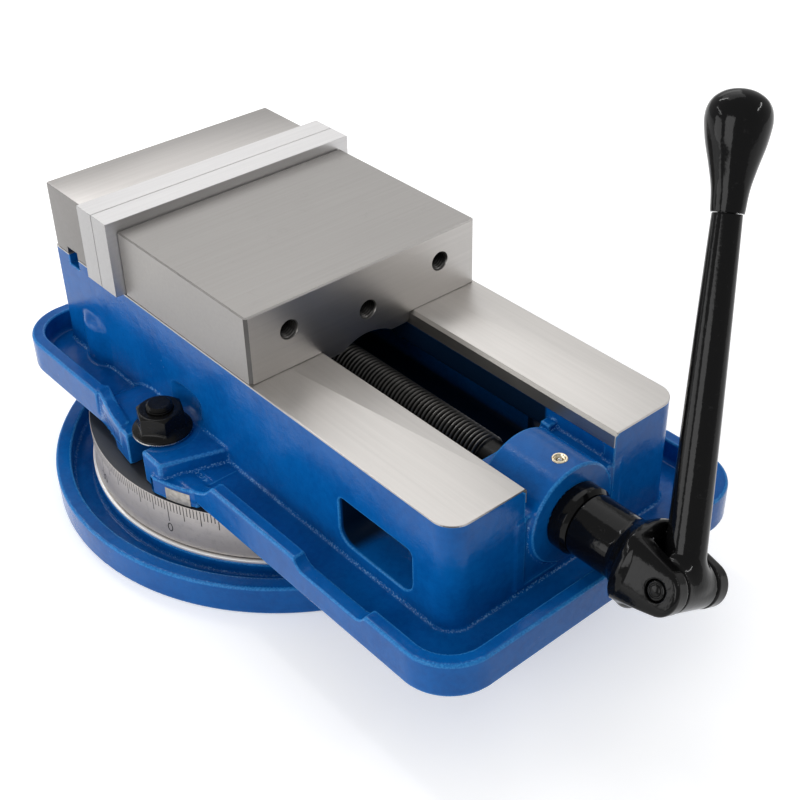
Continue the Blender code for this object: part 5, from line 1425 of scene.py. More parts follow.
class SwivelBase(Assembly):
    """The base casting, its turned drum with the T-slot, and the scale of degrees."""

    sizes = BaseSizes()

    def form(self) -> Form:
        """A disc with a round trough, a recess below, and two pads with hold-down slots open to the rim."""
        s = self.sizes
        inner = s.radius - s.rim_width
        disc = pillar(CENTRE, s.radius).clip(slab(0.0, s.rim_top), 1.3)
        ring = Form(
            lambda x, y, z: np.abs(np.hypot(x, y) - (s.shoulder + inner) / 2) - (inner - s.shoulder) / 2
        )
        disc = disc.carve(pillar(CENTRE, s.shoulder + 3.0).clip(above(s.drum_foot)))
        disc = disc.carve(ring.clip(above(s.trough), 2.0), 1.0)
        middle, half, top = s.recess
        under = Form(lambda x, y, z: np.abs(np.hypot(x, y) - middle) - half)
        disc = disc.carve(under.clip(below(top), 3.0), 0.8)
        across, along, low, high = s.pad
        pad = wide(across).clip(Form(lambda x, y, z: np.abs(np.abs(y) - s.hold_down) - along))
        pad = pad.clip(slab(low, high), 1.4)
        slot = Form(lambda x, y, z: np.hypot(x, np.abs(y) - s.hold_down) - s.hold_down_half)
        slot = slot.join(wide(s.hold_down_half).clip(Form(lambda x, y, z: s.hold_down - np.abs(y))))
        return disc.join(pad, 2.5).carve(slot, 0.8)

    def build_casting(self) -> None:
        """Skin the base casting."""
        skin = skin_of(self.form(), (-134.2, -134.2, -1.6), (134.2, 134.2, 18.6), 1.2)
        front = skin.points[skin.faces].mean(axis=1)[:, 1] < 0.0
        for name, chosen, replaced in (("front", front, ("swivel_base",)), ("back", ~front, ())):
            part = skin.part(chosen)
            LOG.info("base casting %s: %d triangles", name, 2 * len(part.faces))
            self.shop.cast(
                f"base_casting_{name}", part, Body.BASE, self.finishes.enamel, "blue_enamel", replaced
            )

    def build_drum(self) -> None:
        """The turned drum: shoulder ring with a painted highlight, undercut, graduated wall and the circular
        T-slot.
        """
        s = self.sizes
        slot = math.hypot(*LugSizes.stud)
        neck, wide_half, bore = s.neck, s.wide, s.bore
        lip, floor = s.drum_top - s.lip, s.drum_top - s.depth
        outline = [
            (bore, 14.6), (s.shoulder, 14.6), (s.shoulder, 16.0), (s.drum - 1.2, 16.0),
            (s.drum - 1.2, s.drum_bottom), (s.drum, s.drum_bottom), (s.drum, s.drum_top),
            (slot + neck, s.drum_top), (slot + neck, lip), (slot + wide_half, lip), (slot + wide_half, floor),
            (slot - wide_half, floor), (slot - wide_half, lip), (slot - neck, lip), (slot - neck, s.drum_top),
            (bore, s.drum_top),
        ]
        radii = (0, 0.1, 0.45, 0.2, 0.2, 0.3, 0.4, 0.4, 0.3, 0.3, 0.8, 0.8, 0.3, 0.3, 0.4, 0.5)
        self.shop.turned(
            "graduated_drum", softened(outline, radii, 3), Matrix(), Body.BASE, self.finishes.drum,
            "ground_steel", segments=288, sharp=40.0,
        )

    def build_scale(self) -> None:
        """The scale: a filled line at every degree, longer at fives and longest at the numbered lines."""
        s = self.sizes
        degree = np.arange(360)
        length = np.where(degree % 30 == 0, s.long, np.where(degree % 5 == 0, s.five, s.degree))
        angle = np.radians(s.zero + degree)
        half = s.mark_width / 2 / s.drum
        radius = s.drum + 0.03
        top = np.full(360, s.drum_top - 0.35)
        corners = []
        for turn, height in ((-half, top - length), (half, top - length), (half, top), (-half, top)):
            corners.append(around(radius, angle + turn, height))
        points = np.stack(corners, axis=1).reshape(-1, 3)
        made = self.shop.raw("scale_lines", Skin(points, np.arange(len(points)).reshape(-1, 4)))
        self.shop.finish(made, Body.BASE, self.finishes.mark, "black_oxide", sharp=None)

    def digit_arcs(self, digit: str) -> list[tuple[float, float, float, float, float, float]]:
        """A digit's arcs in units of its half sizes: centre, radii, and start and end angle in degrees."""
        return {
            "0": [(0.0, 0.0, 1.0, 1.0, 0.0, 360.0)],
            "3": [(0.0, 0.48, 0.85, 0.52, 150.0, -90.0), (0.0, -0.48, 0.95, 0.52, 90.0, -150.0)],
            "6": [(0.0, -0.42, 0.95, 0.58, 0.0, 360.0), (0.45, 0.0, 1.4, 1.0, 185.0, 100.0)],
            "9": [(0.0, 0.42, 0.95, 0.58, 0.0, 360.0), (-0.45, 0.0, 1.4, 1.0, 5.0, -80.0)],
        }[digit]

    def build_numerals(self) -> None:
        """Numbers under the long lines, each arc a ribbon of even width that lies on the drum's wall."""
        s = self.sizes
        strips: list[Array] = []
        quads: list[Array] = []
        count = 0
        t = np.linspace(0.0, 1.0, 21)
        for degree in range(0, 360, 30):
            folded = degree % 180
            text = str(folded if folded <= 90 else 180 - folded)
            for place, digit in enumerate(text):
                shift = (place - (len(text) - 1) / 2) * s.digit_step
                for cx, cy, rx, ry, start, end in self.digit_arcs(digit):
                    angle = np.radians(start + (end - start) * t)
                    cosine, sine = np.cos(angle), np.sin(angle)
                    edges = []
                    for grow in (-s.stroke_half, s.stroke_half):
                        across = shift + s.digit[0] * cx + (s.digit[0] * rx + grow) * cosine
                        height = s.digit_height + s.digit[1] * cy + (s.digit[1] * ry + grow) * sine
                        turn = math.radians(s.zero + degree) + across / s.drum
                        edges.append(around(s.drum + 0.03, turn, height))
                    strip = np.concatenate(edges)
                    row = np.arange(len(t) - 1)
                    quad = np.stack([row, row + len(t), row + len(t) + 1, row + 1], axis=1) + count
                    quads.append(quad if end > start else quad[:, ::-1])
                    strips.append(strip)
                    count += len(strip)
        made = self.shop.raw("scale_numerals", Skin(np.concatenate(strips), np.concatenate(quads)))
        self.shop.finish(made, Body.BASE, self.finishes.mark, "black_oxide", sharp=None)

    def build(self) -> None:
        """Build every piece of the base."""
        self.build_casting()
        self.build_drum()
        self.build_scale()
        self.build_numerals()


# Clamps, crank and screw


def smooth_line(points: Points, steps: int = 6) -> Array:
    """A Catmull-Rom curve through the points: the end slopes of each stretch lie along its neighbours."""
    line = np.asarray(points, dtype=float)
    padded = np.concatenate([2 * line[:1] - line[1:2], line, 2 * line[-1:] - line[-2:-1]])
    before, start, end, after = padded[:-3], padded[1:-2], padded[2:-1], padded[3:]
    t = np.linspace(0.0, 1.0, steps, endpoint=False)[None, :, None]
    before, start, end, after = (part[:, None, :] for part in (before, start, end, after))
    square = 2 * before - 5 * start + 4 * end - after
    cube = 3 * start - before - 3 * end + after
    cubic = 0.5 * (2 * start + (end - before) * t + square * t**2 + cube * t**3)
    return np.concatenate([cubic.reshape(-1, line.shape[1]), line[-1:]])


def thread_profile(start: float, end: float, root: float, crest: float, pitch: float) -> Array:
    """Radius and height of a thread's flat-tipped ridges from start to end, one to a pitch."""
    direction = 1.0 if end > start else -1.0
    turns = np.arange(int(abs(end - start) / pitch))
    phase = np.array([0.0, 0.12, 0.44, 0.56, 0.88])
    radius = np.array([root, root, crest, crest, root])
    height = start + direction * pitch * (turns[:, None] + phase[None, :])
    return np.column_stack([np.tile(radius, len(turns)), height.reshape(-1)])


@dataclass(frozen=True)
class ClampSizes:
    """A clamp nut on its stud."""

    stud: Pair = LugSizes.stud
    seat: float = 61.5
    flange: float = 15.2
    flats: float = 22.2
    turn: float = 8.0
    height: float = 13.2
    bore: float = 6.72
    stud_top: float = 77.95


class Clamps(Assembly):
    """The two flanged clamp nuts and the threads of the studs that stand through them."""

    sizes = ClampSizes()

    def nut_form(self) -> Form:
        """A hexagon with turned upper corners on a domed flange, about its axis with its seat at 0."""
        s = self.sizes
        angles = np.radians(s.turn + 30.0 + np.array([0.0, 60.0, 120.0]))

        def flats(x: Array, y: Array, z: Array) -> Array:
            sides = [np.abs(x * math.cos(turn) + y * math.sin(turn)) for turn in angles]
            return np.maximum(np.maximum(sides[0], sides[1]), sides[2]) - s.flats / 2

        def crown(x: Array, y: Array, z: Array) -> Array:
            return (np.hypot(x, y) - s.flats / 2 + 0.55) * 0.5 + (z - s.height) * 0.866

        def dome(x: Array, y: Array, z: Array) -> Array:
            return (z - 3.1 + (np.hypot(x, y) - 13.0) * 0.52) * 0.887

        hexagon = Form(flats).clip(slab(0.2, s.height), 0.35).clip(Form(crown), 0.25)
        flange = pillar(CENTRE, s.flange).clip(slab(0.0, 6.0), 0.25).clip(Form(dome), 0.4)
        return hexagon.join(flange, 1.1).carve(pillar(CENTRE, s.bore), 0.55)

    def build(self) -> None:
        """Build both nuts and threads."""
        s = self.sizes
        skin = skin_of(self.nut_form(), (-15.9, -15.9, -0.9), (15.9, 15.9, 14.2), 0.42)
        line = [(0.0, -6.0), (6.3, -6.0)]
        line += [tuple(point) for point in thread_profile(-5.0, -0.9, 6.05, 6.62, 1.36)]
        line += [(6.38, -0.75), (5.75, -0.12), (5.5, 0.0), (1.7, 0.0), (1.25, -0.35), (0.0, -0.55)]
        for side, name, body in ((-1.0, "left", Body.LEFT_CLAMP), (1.0, "right", Body.RIGHT_CLAMP)):
            seat = Matrix.Translation((side * s.stud[0], s.stud[1], s.seat))
            made = self.shop.raw(f"flanged_nut_{name}", skin.placed(seat))
            self.shop.finish(
                made, body, self.finishes.oxide, "black_oxide", (f"clamp_nut_{name}",), normals=skin.normals
            )
            # Painted highlight: a bright steel ring on the outer edge of the flange.
            rim = softened([(13.9, 0.02), (15.24, 0.02), (15.24, 0.95), (13.9, 0.95)], (0, 0.3, 0.15, 0), 3)
            self.shop.turned(
                f"nut_highlight_ring_{name}", rim, seat, body, self.finishes.bright, "bright_steel", segments=120,
                sharp=50.0,
            )
            top = Matrix.Translation((side * s.stud[0], s.stud[1], s.stud_top))
            self.shop.turned(
                f"stud_thread_{name}", line, top, Body.VISE, self.finishes.oxide, "black_oxide", segments=72,
                sharp=24.0,
            )


@dataclass(frozen=True)
class CrankSizes:
    """The socket, clevis, pin, arm and knob. Lengths run from the clevis pin."""

    pin: Triple = (0.0, -269.6, 83.6)
    turn: float = 26.3
    lean: float = 17.9
    tube: float = 14.9
    tube_front: float = 28.9
    tube_back: float = 52.3
    collar: float = 21.4
    collar_front: float = 15.9
    collar_back: float = 19.9
    cheek: float = 20.2
    cheek_end: float = 10.9
    envelope: float = 22.6
    slot: float = 11.7
    crotch: float = 14.85
    pin_hole: float = 4.9
    hub: float = 10.6
    hub_half: float = 11.4
    arm_length: float = 153.5
    knob_length: float = 50.0


class Crank(Assembly):
    """The folding crank and the socket that it hangs in."""

    sizes = CrankSizes()

    def __init__(self, shop: Workshop, finishes: Finishes) -> None:
        """Work out the crank's directions."""
        super().__init__(shop, finishes)
        turn, lean = math.radians(self.sizes.turn), math.radians(self.sizes.lean)
        self.across = Vector((math.sin(turn), 0.0, math.cos(turn)))
        self.axle = Vector((math.cos(turn), 0.0, -math.sin(turn)))
        self.aim = (self.across * math.cos(lean) + Vector((0.0, 1.0, 0.0)) * math.sin(lean)).normalized()

    def socket_form(self) -> Form:
        """The socket in its own frame: X along the pin, Y along the screw, Z across.

        The cheeks' outline is a circle about the pin whose two tangents open towards the collar.
        """
        s = self.sizes
        taper = math.atan2(16.4 - s.cheek_end, s.collar_back)

        def cheek(x: Array, y: Array, z: Array) -> Array:
            side = np.abs(z) * math.cos(taper) - y * math.sin(taper) - s.cheek_end
            round_end = np.hypot(y, z) - s.cheek_end
            return np.where(y * math.cos(taper) + np.abs(z) * math.sin(taper) < 0.0, round_end, side)

        def cone(x: Array, y: Array, z: Array) -> Array:
            fall, run = s.collar - s.tube, s.tube_front - s.collar_back
            return ((np.hypot(x, z) - s.collar) * run + (y - s.collar_back) * fall) / math.hypot(run, fall)

        tube = pillar(CENTRE, s.tube, Axis.Y).clip(slab(18.0, s.tube_back, Axis.Y), 0.9)
        collar = pillar(CENTRE, s.collar, Axis.Y).clip(Form(cone), 1.2)
        collar = collar.clip(above(s.collar_front, Axis.Y), 2.4)
        fork = Form(cheek).clip(slab(-30.0, 22.0, Axis.Y)).clip(wide(s.cheek), 1.8)
        fork = fork.clip(pillar(CENTRE, s.envelope, Axis.Y), 2.2)
        body = tube.join(collar, 1.0).join(fork, 1.6)
        slot = wide(s.slot).clip(below(s.crotch, Axis.Y), 3.0)
        body = body.carve(slot, 1.3).carve(pillar(CENTRE, s.pin_hole, Axis.X), 0.5)
        return body.carve(pillar(CENTRE, 11.2, Axis.Y).clip(above(33.5, Axis.Y)), 0.8)

    def arm_form(self) -> Form:
        """The arm in its own frame: X along the pin, Z along the arm. The rod thins towards its end."""
        s = self.sizes

        def rod(x: Array, y: Array, z: Array) -> Array:
            along = np.clip(z, 0.0, s.arm_length)
            return np.hypot(x, y) - (8.85 - 0.0085 * along - 0.00005 * along * along)

        hub = pillar(CENTRE, s.hub, Axis.X).clip(wide(s.hub_half), 1.2)
        shaft = Form(rod).clip(slab(2.0, s.arm_length), 0.35)
        body = hub.join(shaft, 5.0).clip(wide(s.hub_half), 1.0)
        return body.carve(pillar(CENTRE, 4.66, Axis.X), 0.4).carve(pillar(CENTRE, 4.32).clip(above(141.1)))

    def build(self) -> None:
        """Build the socket, the pin, the arm and the knob."""
        s = self.sizes
        seat = seat_of(self.axle, BACKWARDS, self.across, s.pin)
        skin = skin_of(self.socket_form(), (-24.0, -12.6, -23.0), (24.0, 53.8, 23.0), 0.62).placed(seat)
        self.shop.cast(
            "forged_socket", skin, Body.SCREW, self.finishes.gloss, "gloss_black", ("crank_socket",)
        )
        pin_seat = seat_along(s.pin, self.axle, (0.0, 1.0, 0.0))
        half = s.cheek - 0.25
        end = [
            (4.55, half - 3.0), (4.55, half - 1.1), (4.0, half - 0.35), (3.35, half - 0.12),
            (3.05, half - 0.55), (2.55, half - 0.55), (2.25, half), (0.0, half + 0.10),
        ]
        other = [(radius, -height) for radius, height in reversed(end)]
        profile = softened(other + end, [0.0] + [0.3] * (len(end) * 2 - 2) + [0.0], 2)
        self.shop.turned(
            "riveted_clevis_pin", profile, pin_seat, Body.SCREW, self.finishes.gloss, "gloss_black",
            ("clevis_pin",), 72, 50.0,
        )
        arm_seat = seat_along(s.pin, self.aim, self.axle)
        skin = skin_of(self.arm_form(), (-12.6, -11.8, -11.8), (12.6, 11.8, 154.6), 0.62).placed(arm_seat)
        self.shop.cast(
            "forged_crank_arm", skin, Body.CRANK, self.finishes.gloss, "gloss_black", ("crank_arm",)
        )
        low = s.arm_length + 0.3
        shape = [
            (0.0, 6.95), (0.03, 7.15), (0.20, 7.95), (0.38, 10.0), (0.55, 12.3), (0.68, 13.5), (0.76, 13.8),
            (0.84, 13.15), (0.91, 11.2), (0.96, 8.0), (0.988, 4.4), (1.0, 0.0),
        ]
        outline = smooth_line([(radius, low + s.knob_length * share) for share, radius in shape], 7)
        neck = [(0.0, low - 12.0), (3.9, low - 12.0), (3.9, low), (6.5, low)]
        self.shop.turned(
            "pear_knob", np.concatenate([neck, outline]), arm_seat, Body.CRANK, self.finishes.gloss,
            "gloss_black", ("crank_knob",), 128, 55.0,
        )


@dataclass(frozen=True)
class ScrewSizes:
    """The lead screw and the cap of its bearing, along the screw's axis."""

    height: float = 83.6
    start: float = -153.9
    end: float = 46.0
    crest: float = 10.6
    root: float = 9.15
    pitch: float = 2.5
    neck: float = 9.5
    cap_face: float = -217.0
    cap_back: float = -208.0
    cap: float = 16.5
    spigot: float = -204.7
    spigot_radius: float = 14.7
    hexagon: float = 18.6
    hexagon_start: float = -234.0


class LeadScrew(Assembly):
    """The lead screw, swept along its helix, and the black cap on its bearing."""

    sizes = ScrewSizes()
    seat = seat_along((0.0, 0.0, sizes.height), (0.0, 1.0, 0.0), (1.0, 0.0, 0.0))

    def thread(self) -> Skin:
        """The thread's skin.

        Along row k the height grows by one pitch over a turn, and the row's end meets the start of the row
        one pitch further on. The radius follows the thread's profile and fades to the root at both ends.
        """
        s = self.sizes
        per_pitch, segments = 10, 56
        share = np.arange(per_pitch) / per_pitch
        ridge = np.clip((0.5 - np.abs(share - 0.5)) * 3.1 - 0.16, 0.0, 1.0)
        turns = int((s.end - s.start) / s.pitch) + 1
        rows = turns * per_pitch
        k = np.arange(rows + per_pitch)[:, None]
        angle = 2 * math.pi * np.arange(segments)[None, :] / segments
        height = s.start - s.pitch + s.pitch * k / per_pitch + s.pitch * angle / (2 * math.pi)
        fade = np.clip((height - s.start) / 1.1, 0.0, 1.0) * np.clip((s.end - height) / 1.1, 0.0, 1.0)
        radius = s.root + (s.crest - s.root) * ridge[k % per_pitch] * fade
        radius = np.where(height > s.end, 0.2, radius)
        height = np.clip(height, s.start - s.pitch, s.end)
        points = around(radius, angle, height).reshape(-1, 3)
        row = np.arange(rows + per_pitch - 1)[:, None]
        column = np.arange(segments)[None, :]
        wrap = (column == segments - 1) * per_pitch
        after = (column + 1) % segments
        keep = (row + wrap + 1 < rows + per_pitch) & np.ones_like(column, dtype=bool)
        faces = np.stack(
            [
                row * segments + column,
                (row + wrap) * segments + after,
                (row + wrap + 1) * segments + after,
                (row + 1) * segments + column,
            ],
            axis=-1,
        )
        return Skin(points, faces[keep].reshape(-1, 4))

    def build(self) -> None:
        """Build the thread, the neck with its thrust flange, the hexagon and the cap."""
        s = self.sizes
        made = self.shop.raw("lead_screw_thread", self.thread().placed(self.seat))
        self.shop.finish(made, Body.SCREW, self.finishes.screw, "screw_steel", ("lead_screw",), sharp=40.0)
        flange, thick = -199.1, 5.0
        neck = softened(
            [
                (0.0, s.cap_face - 2.0), (s.neck, s.cap_face - 2.0), (s.neck, flange), (14.4, flange),
                (14.4, flange + thick), (s.neck, flange + thick),
                (s.neck, s.start - 0.6), (s.neck - 0.5, s.start + 0.3), (0.0, s.start + 0.3),
            ],
            (0, 0.2, 0.3, 0.3, 0.3, 0.3, 0.4, 0.2, 0), 3,
        )
        self.shop.turned(
            "lead_screw_neck", neck, self.seat, Body.SCREW, self.finishes.screw, "screw_steel", segments=72,
            sharp=40.0,
        )
        corner = s.hexagon / math.sqrt(3.0)
        end = [
            (0.0, s.hexagon_start), (corner - 1.0, s.hexagon_start), (corner, s.hexagon_start + 0.8),
            (corner, s.cap_face - 1.0), (0.0, s.cap_face - 1.0),
        ]
        turned = self.seat @ Matrix.Rotation(math.radians(-26.3), 4, "Z")
        self.shop.turned(
            "lead_screw_hexagon", end, turned, Body.SCREW, self.finishes.bright, "bright_steel", segments=6,
            sharp=20.0,
        )
        ring = softened(
            [
                (9.56, s.cap_face), (s.cap - 1.8, s.cap_face), (s.cap, s.cap_face + 1.8), (s.cap, s.cap_back),
                (s.spigot_radius, s.cap_back),
                (s.spigot_radius, s.spigot), (9.56, s.spigot),
            ],
            (0.4, 0.6, 0.6, 0.5, 0.1, 0.5, 0.4), 3,
        )
        self.shop.turned(
            "bearing_cap_ring", ring, self.seat, Body.VISE, self.finishes.gloss, "gloss_black",
            ("bearing_cap",), 120, 45.0,
        )


# The jaws


def shaft(radius: float, depth: float) -> Points:
    """The profile of a round cutter from just before its face to a depth."""
    return [(0.0, -1.0), (radius, -1.0), (radius, depth), (0.0, depth)]


@dataclass(frozen=True)
class JawSizes:
    """Both jaws, their plates and what is cut into them."""

    rail: float = 112.2
    line: float = 55.1
    gap: float = 0.3
    body_half: float = 70.9
    jaw_half: float = 70.5
    plate_half: float = 76.2
    plate_thick: float = 13.8
    plate_foot: float = 0.7
    plate_height: float = 41.7
    fixed_depth: float = 41.6
    fixed_height: float = 38.2
    moving_length: float = 109.0
    moving_height: float = 36.7
    chamfer: float = 1.5
    keyway: Pair = (89.1, 99.2)
    keyway_top: float = 116.5
    tongue_half: float = 27.35
    tongue_floor: float = 105.7
    arch: Pair = (83.6, 26.9)
    screw_x: float = 50.8
    screw_rise: float = 21.0
    holes: tuple[Pair, ...] = ((-46.8, 21.2), (0.0, 12.4), (46.8, 21.2))
    hole: float = 4.4
    bolt_x: float = 58.0


class Jaws(Assembly):
    """The fixed jaw, the moving jaw with its tongue and tapped holes, the two plates and their screws."""

    sizes = JawSizes()

    def __init__(self, shop: Workshop, finishes: Finishes) -> None:
        """Work out where the faces lie."""
        super().__init__(shop, finishes)
        s = self.sizes
        half_gap = s.gap / 2
        self.moving_face = s.line - half_gap
        self.moving_front = self.moving_face - s.plate_thick - s.gap
        self.moving_rear = self.moving_front - s.moving_length
        self.fixed_face = s.line + half_gap
        self.fixed_front = self.fixed_face + s.plate_thick + s.gap
        self.fixed_back = self.fixed_front + s.fixed_depth

    def block(
        self, name: str, limits: Numbers, levels: Sequence[Pair], corners: Numbers, steps: int = 4
    ) -> Piece:
        """An upright block: a rounded rectangle lofted through levels of height and inset."""
        outlines = [rounded_rectangle(*limits, corners, inset, steps) for _, inset in levels]
        return self.shop.raw(name, stack(outlines, [height for height, _ in levels]), len(outlines[0]))

    def box(self, name: str, low: Numbers, high: Numbers) -> Piece:
        """A square-edged cutter."""
        return self.block(
            name, (low[0], high[0], low[1], high[1]), ((low[2], 0.0), (high[2], 0.0)), (0.02,) * 4, 2
        )

    def bar(self, name: str, place: Numbers, aim: Numbers, profile: Points, segments: int = 64) -> Piece:
        """A round cutter or piece lathed about a direction."""
        side = (1.0, 0.0, 0.0) if abs(aim[0]) < 0.9 else (0.0, 1.0, 0.0)
        seat = seat_along(place, aim, side)
        return self.shop.weld(self.shop.raw(name, lathe(profile, segments).placed(seat)))

    def tapped_hole(self, x: float, rise: float, depth: float) -> Piece:
        """The cutter of a countersunk hole whose wall carries thread ridges."""
        s = self.sizes
        ridges = thread_profile(1.0, 13.0, s.hole + 0.42, s.hole - 0.12, 1.5)
        line = [
            (0.0, -1.0), (s.hole + 1.85, -1.0), (s.hole + 0.85, 0.0), *[tuple(point) for point in ridges],
            (s.hole, 13.4), (s.hole, depth), (0.0, depth + 2.5)
        ]
        return self.bar(
            f"hole_cutter_{x:.0f}", (x, self.moving_rear, s.rail + rise), (0.0, 1.0, 0.0), line, 56
        )

    def build_fixed(self) -> None:
        """The fixed jaw with its keyway and the counterbored seats of its bolts."""
        s = self.sizes
        top = s.rail + s.fixed_height
        low = s.rail + s.gap
        jaw = self.block(
            "ground_fixed_jaw", (-s.body_half, s.body_half, self.fixed_front, self.fixed_back),
            ((low, 0.25), (low + 0.25, 0.0), (top - 0.55, 0.0), (top - 0.16, 0.16), (top, 0.55)), (0.7,) * 4,
        )
        tools = [self.box("keyway_cutter", (-80.0, s.keyway[0], 100.0), (80.0, s.keyway[1], s.keyway_top))]
        for side in (-1.0, 1.0):
            bolt = (side * s.bolt_x, self.fixed_front + 13.0, low)
            tools.append(self.bar("bolt_cutter", bolt, (0.0, 0.0, 1.0), shaft(6.3, 14.0), 48))
            screw = (side * s.screw_x, self.fixed_front, s.rail + s.screw_rise)
            tools.append(self.bar("screw_cutter", screw, (0.0, 1.0, 0.0), shaft(4.3, 14.5), 48))
        self.shop.finish(
            self.shop.drill(jaw, tools), Body.VISE, self.finishes.fixed, "ground_steel", ("fixed_jaw",),
            sharp=26.0,
        )

    def build_moving(self) -> None:
        """The moving jaw: block, tongue with its arch, pockets for the nut and the segment, and holes."""
        s = self.sizes
        top, low = s.rail + s.moving_height, s.rail + 0.05
        jaw = self.block(
            "ground_moving_jaw", (-s.jaw_half, s.jaw_half, self.moving_rear, self.moving_front),
            ((low, 0.2), (low + 0.2, 0.0), (top - 0.7, 0.0), (top, 0.7)), (s.chamfer, s.chamfer, 0.4, 0.4), 2,
        )
        centre, radius = s.arch
        reach = math.asin((s.tongue_floor - centre) / radius)
        turn = np.linspace(reach, math.pi - reach, 29)
        arch = np.column_stack([radius * np.cos(turn), centre + radius * np.sin(turn)])
        section = np.concatenate([
            [(s.tongue_half, low + 2.0)], [(s.tongue_half, s.tongue_floor)], arch,
            [(-s.tongue_half, s.tongue_floor)], [(-s.tongue_half, low + 2.0)],
        ])
        radii = np.concatenate([[0.0, 3.0], np.zeros(len(arch)), [3.0, 0.0]])
        outline = softened(section, radii, 6)[:, ::-1]
        ends = (self.moving_rear + s.chamfer, self.moving_front - 6.0)
        tongue = self.shop.raw("tongue_cutter", stack([outline, outline], ends).placed(ALONG_Y), len(outline))
        self.shop.drill(jaw, [tongue], "UNION")
        tools = [
            self.box("horn_cutter", (-12.0, -24.0, 92.0), (12.0, 23.5, 133.0)),
            self.box("nut_cutter", (-22.0, -14.0, 92.0), (22.0, 36.0, 104.4)),
        ]
        tools += [self.tapped_hole(x, rise, 44.0 if x == 0.0 else 22.0) for x, rise in s.holes]
        aim = Vector((0.0, 1.0, -1.0)).normalized()
        arc = np.linspace(0.0, math.pi / 2, 17)
        dome = [(0.0, -1.0), (9.8, -1.0), *[(9.8 * math.cos(a), 9.8 * math.sin(a)) for a in arc]]
        tools.append(self.bar("segment_cutter", (0.0, 14.2, 116.8), aim, dome, 48))
        for side in (-1.0, 1.0):
            screw = (side * s.screw_x, self.moving_front, s.rail + s.screw_rise)
            tools.append(self.bar("screw_cutter", screw, (0.0, -1.0, 0.0), shaft(4.3, 14.5), 48))
        self.shop.finish(
            self.shop.drill(jaw, tools), Body.JAW, self.finishes.moving, "ground_steel", ("moving_jaw",),
            sharp=26.0,
        )

    def build_plate(self, name: str, face: float, towards: float, body: Body) -> None:
        """A jaw plate with fine ground chamfers and two counterbored holes, and its two screws.

        Args:
            name: fixed or moving.
            face: y of the clamping face.
            towards: 1 where the plate lies behind its face, -1 where it lies before it.
            body: what it rides on.
        """
        s = self.sizes
        low, high = s.rail + s.plate_foot, s.rail + s.plate_foot + s.plate_height
        front, back = sorted((face, face + towards * s.plate_thick))
        plate = self.block(
            f"ground_{name}_plate", (-s.plate_half, s.plate_half, front, back),
            ((low, 0.2), (low + 0.2, 0.0), (high - 0.18, 0.0), (high, 0.18)), (0.25,) * 4,
        )
        tools = []
        for side, place in ((-1.0, "left"), (1.0, "right")):
            bore = softened(
                [
                    (0.0, -1.0), (7.5, -1.0), (7.0, 0.3), (7.0, 9.5), (4.35, 9.5),
                    (4.35, s.plate_thick + 1.0), (0.0, s.plate_thick + 1.0),
                ],
                (0, 0, 0.2, 0.3, 0.2, 0, 0), 3,
            )
            centre = (side * s.screw_x, face, s.rail + s.screw_rise)
            aim = (0.0, towards, 0.0)
            tools.append(self.bar("plate_cutter", centre, aim, bore, 64))
            head = softened(
                [
                    (0.0, 1.2), (5.9, 1.2), (6.5, 1.8), (6.5, 9.2), (4.0, 9.2), (4.0, 27.6), (3.4, 28.2),
                    (0.0, 28.2),
                ],
                (0, 0.3, 0.3, 0.3, 0.2, 0.3, 0.3, 0), 3
            )
            screw = self.bar(f"{name}_plate_cap_screw_{place}", centre, aim, head, 64)
            corner = 6.0 / math.sqrt(3.0)
            hexagon = self.bar(
                "hexagon_cutter", centre, aim,
                [(0.0, 0.0), (corner + 0.8, 0.0), (corner, 2.0), (corner, 5.6), (0.0, 7.0)], 6,
            )
            self.shop.drill(screw, [hexagon])
            self.shop.finish(
                screw, body, self.finishes.oxide, "black_oxide", (f"{name}_plate_screw_{place}",), sharp=30.0
            )
        self.shop.finish(
            self.shop.drill(plate, tools), body, self.finishes.plate, "ground_steel", (f"{name}_jaw_plate",),
            sharp=24.0,
        )

    def build(self) -> None:
        """Build both jaws."""
        self.build_fixed()
        self.build_moving()
        self.build_plate("fixed", self.fixed_face, 1.0, Body.VISE)
        self.build_plate("moving", self.moving_face, -1.0, Body.JAW)


# Kept pieces, studio and camera


def dress_kept_nodes(finishes: Finishes) -> None:
    """Give the CAD nodes that stay their own finish."""
    kept = {
        "pivot_pin": finishes.bright,
        "fixed_jaw_key": finishes.iron,
        "fixed_jaw_bolt_left": finishes.oxide,
        "fixed_jaw_bolt_right": finishes.oxide,
        "clamp_stud_left": finishes.oxide,
        "clamp_stud_right": finishes.oxide,
        "thrust_bearing_front": finishes.bright,
        "thrust_bearing_rear": finishes.bright,
        "jaw_nut": finishes.iron,
        "pull_down_segment": finishes.bright,
        "nut_set_screw": finishes.oxide,
    }
    for name, material in kept.items():
        for slot in bpy.data.objects[name].material_slots:
            slot.material = material


